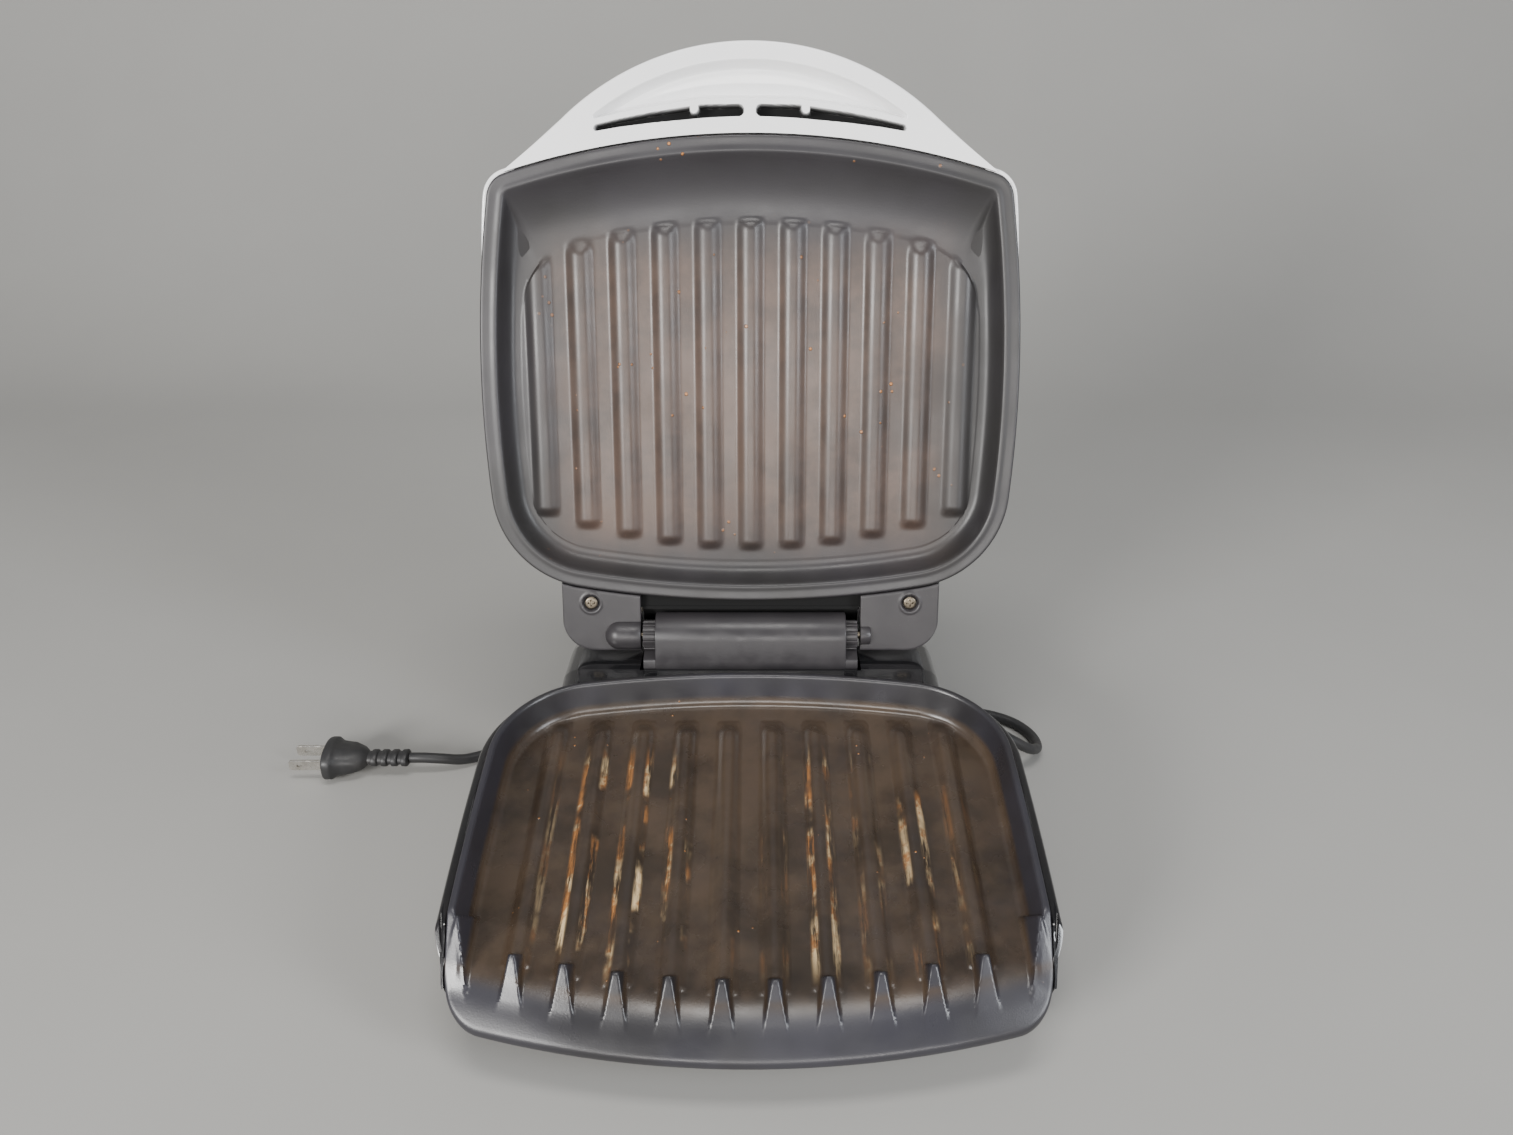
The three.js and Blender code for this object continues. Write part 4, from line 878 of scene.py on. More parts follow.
FINISHES: dict[Slot, Finish | ClearLens] = {
    Slot.WHITE: Finish("gloss_white_moulding", (0.90, 0.90, 0.90), (0.86, 0.86, 0.865), 0.20, 0.05, coat=0.35,
                       grain=300.0, depth=0.00001, blotch=9.0, dust=0.01, shaded=True),
    Slot.GREY: Finish("satin_charcoal_moulding", (0.026, 0.024, 0.026), (0.034, 0.031, 0.033), 0.38, 0.07,
                      shaded=True,
                      grain=2200.0, depth=0.00004, blotch=40.0, dust=0.05),
    Slot.BLACK: Finish("gloss_black_moulding", (0.010, 0.010, 0.011), (0.014, 0.013, 0.014), 0.14, 0.05,
                       coat=0.6,
                       grain=500.0, depth=0.000008, blotch=30.0, dust=0.05),
    Slot.RUBBER: Finish("black_rubber", (0.016, 0.016, 0.017), (0.024, 0.023, 0.023), 0.7, 0.08,
                        grain=1800.0, depth=0.00004, blotch=60.0, dust=0.04),
    Slot.CORD: Finish("cord_jacket", (0.018, 0.018, 0.019), (0.026, 0.025, 0.025), 0.48, 0.07,
                      grain=1500.0, depth=0.00003, blotch=80.0, dust=0.03),
    Slot.BLADE: Finish("nickel_blade", (0.72, 0.70, 0.66), (0.60, 0.57, 0.52), 0.26, 0.08, metallic=1.0,
                       grain=2500.0, depth=0.00002, blotch=120.0, brushed=12.0),
    Slot.SCREW: Finish("plated_screw", (0.20, 0.17, 0.13), (0.10, 0.085, 0.065), 0.38, 0.08, metallic=1.0,
                       grain=3000.0, depth=0.00002, blotch=200.0),
    Slot.ELEMENT: Finish("element_sheath", (0.42, 0.38, 0.33), (0.30, 0.24, 0.20), 0.42, 0.1, metallic=1.0,
                         blotch=60.0),
    Slot.SHIELD: Finish("aluminised_sheet", (0.66, 0.67, 0.68), (0.58, 0.58, 0.58), 0.38, 0.08, metallic=1.0,
                        grain=1500.0, brushed=8.0, blotch=50.0),
    Slot.CERAMIC: Finish("steatite", (0.74, 0.70, 0.60), (0.66, 0.61, 0.52), 0.65, 0.08, blotch=120.0),
    Slot.LEAD: Finish("glass_braid_sleeve", (0.68, 0.64, 0.55), (0.58, 0.52, 0.44), 0.75, 0.06,
                      grain=1400.0, depth=0.0001, blotch=150.0),
    Slot.LENS: ClearLens("amber_lens"),
}


class Paint:
    """Keeps one material per slot and gives a finished piece its body, slot and material."""

    def __init__(self) -> None:
        """Starts with no materials built."""
        self.built: dict[str, bpy.types.Material] = {}

    def of(self, slot: Slot, finish: Optional[object] = None) -> bpy.types.Material:
        """The material of a slot, or of a finish of its own."""
        chosen = finish or FINISHES[slot]
        if chosen.name not in self.built:
            self.built[chosen.name] = chosen.material()
        return self.built[chosen.name]

    def dress(self, piece: bpy.types.Object, body: Body, slot: Slot, replaced: Sequence[str] = (),
              finish: Optional[object] = None) -> bpy.types.Object:
        """Gives a piece its material, its body and its slot, and hides the model's nodes that it stands for.

        Args:
            piece: The piece, with its place in its mesh.
            body: The body that it rides on.
            slot: The material slot that it takes its finish from.
            replaced: Nodes of the model that it stands for.
            finish: A finish other than the slot's own.

        Returns:
            The piece.
        """
        piece.data.materials.clear()
        piece.data.materials.append(self.of(slot, finish))
        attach(piece, body.value)
        if replaced:
            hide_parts(*replaced)
        LOG.info("%s: %d faces on %s, %s", piece.name, len(piece.data.polygons), body.value, slot.value)
        return piece


# ---- studio


@dataclass
class Studio:
    """Camera, soft lights, and a pale floor that curves up behind the object."""

    eye: tuple[float, float, float] = (0.003, -0.4526, 0.4019)
    tilt_down: float = 28.4
    lens: float = 28.24
    floor_colour: Colour = (0.34, 0.335, 0.32)

    def camera(self) -> None:
        """Adds the camera: level, facing +Y and tipped down."""
        data = bpy.data.cameras.new("camera")
        data.lens = self.lens
        data.sensor_width = 36.0
        data.clip_start = 0.01
        camera = bpy.data.objects.new("camera", data)
        camera.location = self.eye
        camera.rotation_euler = (math.radians(90.0 - self.tilt_down), 0.0, 0.0)
        bpy.context.scene.collection.objects.link(camera)
        bpy.context.scene.camera = camera

    def lamp(self, name: str, place: Colour, aim: Colour, size: tuple[float, float], power: float,
             colour: Colour = (1.0, 1.0, 1.0)) -> None:
        """Adds a soft rectangular light at a place, facing a point."""
        data = bpy.data.lights.new(name, "AREA")
        data.shape = "RECTANGLE"
        data.size, data.size_y = size
        data.energy = power
        data.color = colour
        lamp = bpy.data.objects.new(name, data)
        lamp.location = place
        lamp.rotation_euler = (Vector(aim) - Vector(place)).to_track_quat("-Z", "Y").to_euler()
        bpy.context.scene.collection.objects.link(lamp)

    def lights(self) -> None:
        """Adds the key, fill and rear lights and an even surround."""
        self.lamp("key", (-1.15, -1.35, 0.72), (0.0, 0.0, 0.2), (0.6, 0.5), 42.0, (1.0, 0.985, 0.965))
        self.lamp("overhead", (0.0, -0.3, 1.6), (0.0, -0.05, 0.05), (0.8, 0.35), 11.0, (1.0, 0.98, 0.95))
        self.lamp("front", (0.1, -2.0, 0.5), (0.0, 0.0, 0.22), (1.6, 0.4), 22.0, (1.0, 0.97, 0.94))
        self.lamp("right", (1.2, -0.8, 0.7), (0.0, 0.0, 0.15), (0.4, 0.8), 17.0, (0.93, 0.96, 1.0))
        world = bpy.data.worlds.new("surround")
        world.use_nodes = True
        world.node_tree.nodes["Background"].inputs["Color"].default_value = (0.80, 0.83, 0.88, 1.0)
        world.node_tree.nodes["Background"].inputs["Strength"].default_value = 0.4
        bpy.context.scene.world = world

    def floor(self) -> None:
        """Adds the floor: flat to 0.6 m, then a quarter turn of 0.6 m radius, then a wall."""
        bend = np.linspace(0.0, math.pi / 2.0, 24)
        y = np.concatenate([np.linspace(-2.5, 0.6, 20), 0.6 + 0.6 * np.sin(bend[1:]), [1.2]])
        z = np.concatenate([np.zeros(20), 0.6 * (1.0 - np.cos(bend[1:])), [3.0]])
        x = np.linspace(-3.5, 3.5, 15)
        grid = np.stack(np.broadcast_arrays(x[None, :], y[:, None], z[:, None]), axis=-1)
        ids = np.arange(grid.shape[0] * grid.shape[1]).reshape(grid.shape[:2])
        floor = Form(grid.reshape(-1, 3), quad_grid(ids)).mesh("studio_floor", 60.0)
        finish = Finish("pale_paper", self.floor_colour, tuple(0.96 * part for part in self.floor_colour),
                        0.85,
                        0.05, grain=1200.0, depth=0.00002, blotch=3.0)
        floor.data.materials.append(finish.material())


# ---- cord and plug

CORD_ROUTE = np.array([
    (84, 112, 33), (98, 112, 33), (112, 112, 33), (126, 112, 30), (139, 113, 21.5), (150, 118.5, 12),
    (157, 129, 5), (157, 142, 3), (150, 153.5, 3), (138, 161.5, 3), (120, 166, 3), (95, 167, 3), (60, 167, 3),
    (25, 167, 3), (-4, 168, 3), (-23, 177, 3), (-31, 193, 3), (-26, 210, 3), (-11, 220, 3), (8, 219, 3),
    (22, 208, 3.4), (27.5, 192, 6), (24, 176.5, 8.9), (14, 164, 9.3), (-1, 154, 7.6), (-21, 149.5, 4.2),
    (-50, 148.5, 3), (-84, 147, 3), (-115, 140.5, 3), (-138, 129, 3), (-155, 119, 4.6), (-166, 115, 8),
    (-175, 114, 9.4), (-182.7, 114, 9.4)], float)


@dataclass
class PowerCord:
    """The mains lead with its strain relief at the housing and its two-blade plug."""

    paint: Paint
    radius: float = 2.8
    housing_x: float = 95.0
    relief_reach: float = 34.0
    plug: tuple[float, float, float] = (-183.0, 114.0, 9.4)
    flatness: float = 0.71
    blade_spacing: float = 12.7
    blade_thickness: float = 1.5

    def path(self) -> Array:
        """The lead's centre line in millimetres, level with the table."""
        return smooth_path(CORD_ROUTE, 420)

    def lead(self) -> bpy.types.Object:
        """The jacket, a round sweep along the centre line."""
        path = self.path()
        form = placed(sweep(path, np.full(len(path), self.radius)), TABLE)
        return self.paint.dress(form.mesh("power_lead", 40.0), Body.BASE, Slot.CORD, ["power_cord"])

    def strain_relief(self) -> bpy.types.Object:
        """A tapered sleeve along the lead's first stretch, with five grooves that let it bend.

        Its radius falls evenly from 5.2 to 3.7 mm and dips by 0.9 mm in each groove. A collar sits at the
        housing.
        """
        path = self.path()
        reach = np.concatenate([[0.0], np.cumsum(np.linalg.norm(np.diff(path, axis=0), axis=1))])
        start = np.interp(self.housing_x - 6.0, path[:12, 0], reach[:12])
        s = np.linspace(start, start + self.relief_reach + 6.0, 150)
        line = np.stack([np.interp(s, reach, path[:, i]) for i in range(3)], axis=-1)
        t = (s - start - 6.0) / self.relief_reach
        groove = ease(np.cos(t * 2.0 * math.pi * 6.0), 0.1, 0.8) * ease(t, 0.12,
                                                                        0.16) * (1.0 - ease(t, 0.93, 0.97))
        radii = 5.2 - 1.5 * np.clip(t, 0.0, 1.0) - 0.9 * groove
        collar = ease(t, 0.0, 0.012) * (1.0 - ease(t, 0.08, 0.1))
        radii = radii + 1.8 * collar
        radii[-4:] -= np.array([0.05, 0.15, 0.35, 0.7])
        form = placed(sweep(line, radii, 36), TABLE)
        return self.paint.dress(form.mesh("cord_strain_relief", 50.0), Body.BASE, Slot.RUBBER,
                                ["strain_relief"])

    def plug_body(self) -> bpy.types.Object:
        """The moulded plug, lying flat: a grooved neck, then a grip that flares to the blades' face."""
        profile = [(0.05, 0.0), (4.2, 0.0), (4.5, 0.3)]
        for i in range(4):
            at = 0.6 + i * 5.4
            profile += [(5.3, at), (5.6, at + 0.4), (5.6, at + 2.6), (5.3, at + 3.0), (4.5, at + 3.2),
                        (4.4, at + 4.9)]
        profile += [(6.6, 23.6), (7.4, 24.4), (8.6, 26.5), (9.5, 29.5), (10.0, 33.0), (10.6, 36.5),
                    (12.2, 38.6),
                    (12.9, 39.4), (13.0, 40.0), (13.0, 42.6), (12.6, 43.5), (11.6, 44.0), (0.05, 44.0)]
        form = revolve(profile, np.array(self.plug), [-1.0, 0.0, 0.0], 64, self.flatness)
        y = form.points[:, 1] - self.plug[1]
        z = form.points[:, 2] - self.plug[2]
        reach = self.plug[0] - form.points[:, 0]
        bearing = np.arctan2(z / self.flatness, y)
        grip = ease(reach, 22.0, 28.0)
        bulged = 1.0 + 0.10 * np.sin(2.0 * bearing) ** 2 * grip
        square = 1.0 / np.maximum(np.abs(np.cos(bearing)), np.abs(np.sin(bearing)))
        scale = np.maximum(grip * np.minimum(bulged, square), 1.0)
        form.points[:, 1] = self.plug[1] + y * scale
        form.points[:, 2] = self.plug[2] + z * np.minimum(scale, 1.02)
        return self.paint.dress(placed(form, TABLE).mesh("plug_moulding", 38.0), Body.BASE, Slot.CORD,
                                ["plug_body"])

    def blade(self, side: int) -> bpy.types.Object:
        """One flat blade with a hole near its tapered tip.

        The outline and the hole's circle have equal counts; rings at both faces of both make a closed plate.
        """
        count = 48
        start, end, half = 43.8, 62.5, 3.1
        loop = rounded_loop([(start, -half), (end - 0.5, -half), (end, -1.7), (end, 1.7), (end - 0.5, half),
                             (start, half)], [0.2, 1.6, 0.9, 0.9, 1.6, 0.2], 8)
        bearing = np.arctan2(loop[:, 1], loop[:, 0] - start - 13.0)
        hole = np.stack([start + 13.0 + 1.5 * np.cos(bearing), 1.5 * np.sin(bearing)], axis=-1)
        thick = self.blade_thickness / 2.0
        inner = loop - loop_normals(loop) * 0.25
        rings = [(hole, -thick), (inner, -thick), (loop, -thick + 0.25), (loop, thick - 0.25), (inner, thick),
                 (hole, thick)]
        rows = np.stack([np.column_stack([self.plug[0] - flat[:, 0],
                                          np.full(count,
                                                  self.plug[1] + side * self.blade_spacing / 2.0 + height),
                                          self.plug[2] + flat[:, 1]]) for flat, height in rings])
        form = placed(loft(rows, closed=True), TABLE)
        end_name = "front" if side < 0 else "rear"
        return self.paint.dress(form.mesh(f"plug_contact_{end_name}", 35.0), Body.BASE, Slot.BLADE,
                                [f"plug_blade_{end_name}"])

    def build(self) -> None:
        lead = self.lead()
        self.strain_relief()
        pieces = [self.plug_body(), self.blade(-1), self.blade(1)]
        path = TABLE.place(self.path())
        exit_point = TABLE.place(np.array([self.housing_x, 112.0, 33.0]))


# ---- plates


def rib_places(count: int) -> Array:
    """Middles of the ribs across a plate."""
    return (np.arange(count) - (count - 1) / 2.0) * RIB_PITCH


def arch(distance: Array, half: float, height: float) -> Array:
    """A soft ridge with filleted feet: height times (1 - (distance / half) to the power 2.4) squared."""
    return height * np.clip(1.0 - (distance / half) ** 2.4, 0.0, 1.0) ** 2


@dataclass
class LowerPlate:
    """The lower cooking plate: ribs, raised wall, and a front lip with drip spikes."""

    paint: Paint
    plan: PanPlan = PanPlan(120.5, -97.0, 96.4, 410.0, 486.0, 2000.0, 20.0, 48.0)
    ribs: int = 10
    rib_half: float = 6.2
    rib_height: float = 3.0
    lip_slope: float = 0.79
    lip_start: float = 12.6
    spike_height: float = 9.0
    outer_spike_height: float = 14.6
    outer_spike_x: float = 115.5
    spike_base: float = 4.6
    spike_flank: float = 3.6
    wall_height: float = 15.4

    @property
    def centre_y(self) -> float:
        """Centre of the front edge's arc."""
        return self.plan.front + self.plan.front_radius

    def slope(self, x: Array, y: Array) -> Array:
        """The lip's plane: it falls by lip_slope per millimetre outwards from the bend."""
        return -self.lip_slope * (np.hypot(x, y - self.centre_y) - self.plan.front_radius + self.lip_start)

    def spike_tip(self, x: float, height: float) -> float:
        """How far forward a spike of that height has its tip."""
        reach = self.plan.front_radius - self.lip_start - height / self.lip_slope
        return self.centre_y - math.sqrt(reach**2 - x**2)

    def features(self, x: Array, y: Array) -> Array:
        """Ribs and spikes before the lip cuts them.

        A rib is an arch across, rounded off at its rear. A spike's sides rise by spike_flank per millimetre
        to a narrow crest, and its rear falls away from the tip.
        """
        height = np.full(x.shape, -30.0)
        spikes = [(place, self.spike_height) for place in rib_places(self.ribs)]
        spikes += [(side * self.outer_spike_x, self.outer_spike_height) for side in (-1, 1)]
        rear = self.plan.rear - 19.4
        for place, top in spikes:
            off = np.abs(x - place)
            tip = self.spike_tip(place, top)
            base = self.spike_base + (0.9 if top > self.spike_height else 0.0)
            flank = self.spike_flank * (base - off) - 3.0
            back = top - np.maximum(y - tip, 0.0) * (top + 1.0) / (0.75 * top)
            crest = np.minimum(soft_min(flank, np.full_like(flank, top), 2.0), back)
            height = np.maximum(height, crest)
            if top == self.spike_height:
                end = 1.0 - ease(y, rear - 11.0, rear + 1.0)
                rib = np.where(y > tip, arch(off, self.rib_half, self.rib_height) * end, -30.0)
                height = np.where((rib > 0.02) & (off < self.rib_half), soft_max(height, rib, 1.0), height)
        return height

    def surface(self, x: Array, y: Array, wall: Array) -> Array:
        """The cooking side: floor or wall, rounded over into the lip, with ribs and spikes standing on it."""
        slope = self.slope(x, y)
        rounding = 9.0 - 7.8 * ease(wall, 0.0, 6.0)
        ground = soft_min(wall, slope, rounding)
        features = soft_min(self.features(x, y), slope * 1.13 - 0.75, 0.6)
        return soft_max(ground, features, 0.9)

    def rows(self, outline: Outline) -> Array:
        """Rings from the back, over the rim, to the floor's edge.

        Each ring has a place on the wall's section and one on the lip's, mixed by how far the lip's plane has
        dropped at that point of the outline.
        """
        top = self.wall_height
        wall = [(-9.7, -3.5), (-3.3, -3.5), (-2.9, -1.5), (-1.7, 6.0), (-0.5, 13.2), (-0.05, 14.3),
                (-0.25, 15.0),
                (-0.8, top), (-1.6, top), (-2.4, top), (-3.0, 15.0), (-3.35, 14.0), (-4.1, 11.0), (-4.9, 8.0),
                (-5.6, 5.2), (-6.2, 3.1), (-6.8, 1.7), (-7.6, 0.75), (-8.6, 0.2), (-10.0, 0.0)]
        lip = [(-9.7, -4.4), (-1.3, -4.4), (-0.5, -4.1), (-0.1, -3.3), (0.0, -2.4), (0.0, -1.4),
               (-0.15, -0.75),
               (-0.45, -0.3), (-0.9, -0.08), (-1.5, 0.0), (-2.1, 0.0), (-2.8, 0.0), (-3.5, 0.0), (-4.3, 0.0),
               (-5.1, 0.0), (-6.0, 0.0), (-6.9, 0.0), (-7.8, 0.0), (-8.8, 0.0), (-10.0, 0.0)]
        edge = outline.ring(0.0, 0.0)
        share = 1.0 - ease(self.slope(edge[:, 0], edge[:, 1]), -3.5, 3.5)
        rows = []
        for i, ((wall_in, wall_z), (lip_in, lip_z)) in enumerate(zip(wall, lip)):
            ring = outline.ring(wall_in * (1.0 - share) + lip_in * share, 0.0)
            x, y = ring[:, 0], ring[:, 1]
            slope = self.slope(x, y)
            if i < 6:
                low = soft_min(np.full_like(slope, -PLATE_THICKNESS), slope - 4.4, 9.0)
                on_wall = np.minimum(wall_z, np.maximum(slope - 0.6, low))
                on_lip = soft_min(np.zeros_like(slope), slope, 9.0) + lip_z
            else:
                on_wall = self.surface(x, y, np.full_like(x, wall_z))
                on_lip = self.surface(x, y, np.zeros_like(x)) + lip_z
            ring[:, 2] = on_wall * (1.0 - share) + on_lip * share
            rows.append(ring)
        inner = []
        for shrink in (0.80, 0.9):
            ring = outline.ring(-9.7, 0.0, shrink)
            under = soft_min(np.full(len(ring), -PLATE_THICKNESS), self.slope(ring[:, 0], ring[:, 1]) - 4.4,
                             9.0)
            ring[:, 2] = under
            inner.append(ring)
        return np.stack(inner + rows)

    def marks(self, points: Array) -> dict[str, Array]:
        """Where oil has browned, where residue gathers beside the ribs, and where edges catch the light."""
        x, y, z = points.T
        up = z > -3.0
        inside = (1.0 - ease(z, 2.6, 4.6)) * ease(self.slope(x, y), -0.5, 5.0)
        nearest = np.min(np.abs(x[:, None] - rib_places(self.ribs)[None]), axis=1)
        flank = ease(nearest, 2.4, 3.6) * (1.0 - ease(nearest, 4.8, 6.4))
        reach = ease(y, -72.0, -52.0) * (1.0 - ease(y, 34.0, 64.0)) * (1.0 - ease(np.abs(x), 88.0, 112.0))
        roll = np.exp(-((self.slope(x, y)) / 4.0) ** 2)
        loaded = np.interp(x, [-92.0, -84.0, -74.0, -56.0, -33.0, -20.0, 20.0, 30.0, 42.0, 62.0, 72.0, 82.0,
                               92.0],
                           [0.0, 0.4, 1.0, 1.0, 0.9, 0.1, 0.2, 1.0, 0.2, 0.2, 0.9, 0.3, 0.1])
        crust = flank * reach * loaded * up * (z < 4.0)
        return {"film": inside * up, "crust": crust, "edge": roll * up * 0.6}

    def build(self) -> None:
        """Builds the plate."""
        outline = self.plan.sampled(372, 150, 2.2, 0.12)
        rows = self.rows(outline)
        grid = patch(rows[-1][:, :2], outline.across, outline.along)
        x, y = grid[..., 0], grid[..., 1]
        inner = np.dstack([grid, self.surface(x, y, np.zeros_like(x))])
        form = filled(rows, inner, outline)
        form.marks = self.marks(form.points)
        finish = CoatedAluminium("lower_nonstick")
        self.paint.dress(placed(form, PLATES).mesh("lower_cooking_plate", 70.0), Body.BASE, Slot.NONSTICK,
                         ["lower_plate"], finish)


@dataclass
class UpperPlate:
    """The upper cooking plate: a flat flange, a wall that curves deeper at the front, and 11 broad ribs."""

    paint: Paint
    plan: PanPlan = PanPlan(130.0, -119.0, 103.5, 390.0, 520.0, 600.0, 12.0, 50.0)
    floor_plan: PanPlan = PanPlan(119.0, -87.0, 92.5, 390.0, 520.0, 600.0, 48.0, 40.0)
    ribs: int = 11
    rib_half: float = 7.8
    rib_height: float = 3.4
    wall_height: float = 12.0
    flange: float = 8.0

    def rib_heights(self, x: Array, y: Array) -> Array:
        """Height of the ribs over the floor: arches across, eased down to nothing at both ends."""
        height = np.zeros(x.shape)
        for place in rib_places(self.ribs):
            bow = (place / (RIB_PITCH * 5.0)) ** 2
            front = -85.0 + 19.0 * bow
            rear = 80.0 - 17.5 * bow
            ends = ease(y, front - 1.0, front + 8.0) * (1.0 - ease(y, rear - 5.0, rear + 1.0))
            across = arch(np.abs(x - place), self.rib_half, self.rib_height)
            height = np.maximum(height, across * ends)
        return height

    def rows(self, rim: Outline, floor: Outline) -> Array:
        """Rings from the back, over the flange's edge and down the curved wall to the floor.

        The wall drops by 1 - (1 - t) to the power 3 on its way in, softer at the front.
        """
        z = RIM_Z
        deep = self.wall_height
        top = rim.ring(-self.flange - 0.4, 0.0)
        bottom = floor.ring(-6.5, 0.0)
        front = ease(-rim.normals[:, 1], 0.2, 0.9)
        walls = []
        for t in np.linspace(0.0, 1.0, 20)[1:-1]:
            ring = top + (bottom - top) * t
            ring[:, 2] = z + 0.8 + (deep - 0.8) * (1.0 - (1.0 - t) ** (3.0 - 0.8 * front))
            walls.append(ring)
        return np.stack([
            floor.ring(-2.0, z + deep + PLATE_THICKNESS, 0.7), floor.ring(-2.0, z + deep + PLATE_THICKNESS),
            floor.ring(3.0, z + deep - 0.5), rim.ring(-self.flange - 0.5, z + 6.6),
            rim.ring(-self.flange + 2.0, z + 4.6),
            rim.ring(-0.3, z + 4.2), rim.ring(0.0, z + 3.6), rim.ring(0.0, z + 1.2), rim.ring(-0.15, z + 0.6),
            rim.ring(-0.5, z + 0.15), rim.ring(-1.2, z), rim.ring(-2.2, z + 0.12), rim.ring(-4.0, z + 0.4),
            rim.ring(-5.6, z + 0.3), rim.ring(-6.6, z), rim.ring(-7.4, z + 0.12), rim.ring(-8.1, z + 0.55),
            *walls, floor.ring(-6.5, z + deep)])

    def build(self) -> None:
        """Builds the plate with its ribs hanging from the floor."""
        rim = self.plan.sampled(330, 150)
        floor = self.floor_plan.sampled(330, 150)
        rows = self.rows(rim, floor)
        grid = patch(rows[-1][:, :2], rim.across, rim.along)
        x, y = grid[..., 0], grid[..., 1]
        heights = self.rib_heights(x, y)
        inner = np.dstack([grid, np.full(x.shape, RIM_Z + self.wall_height)
                           - soft_max(heights, np.zeros_like(x), 0.5)])
        edge = rows[-1]
        edge[:, 2] -= self.rib_heights(edge[:, 0], edge[:, 1])
        form = filled(rows, inner, rim)
        px, py, pz = form.points.T
        inside = (1.0 - ease(np.abs(px), 78.0, 112.0)) * (1.0 - ease(np.abs(py - 4.0), 55.0, 90.0))
        nearest = np.min(np.abs(px[:, None] - rib_places(self.ribs)[None]), axis=1)
        film = inside * (0.75 + 0.15 * ease(nearest, 4.0, 8.0)) * (pz < RIM_Z + self.wall_height + 0.5)
        front_edge = ease(-py, 100.0, 112.0) * (pz < RIM_Z + 2.0)
        form.marks = {"film": film, "crust": np.zeros(len(px)),
                      "edge": np.maximum(front_edge, 0.25 * inside)}
        finish = CoatedAluminium("upper_nonstick", coating=(0.019, 0.018, 0.018),
                                 violet=(0.025, 0.023, 0.026),
                                 film=(0.098, 0.060, 0.042), roughness=0.42, crumbs=0.10)
        self.paint.dress(placed(form, LID).mesh("upper_cooking_plate", 60.0), Body.LID, Slot.NONSTICK,
                         ["upper_plate"], finish)


# ---- lid


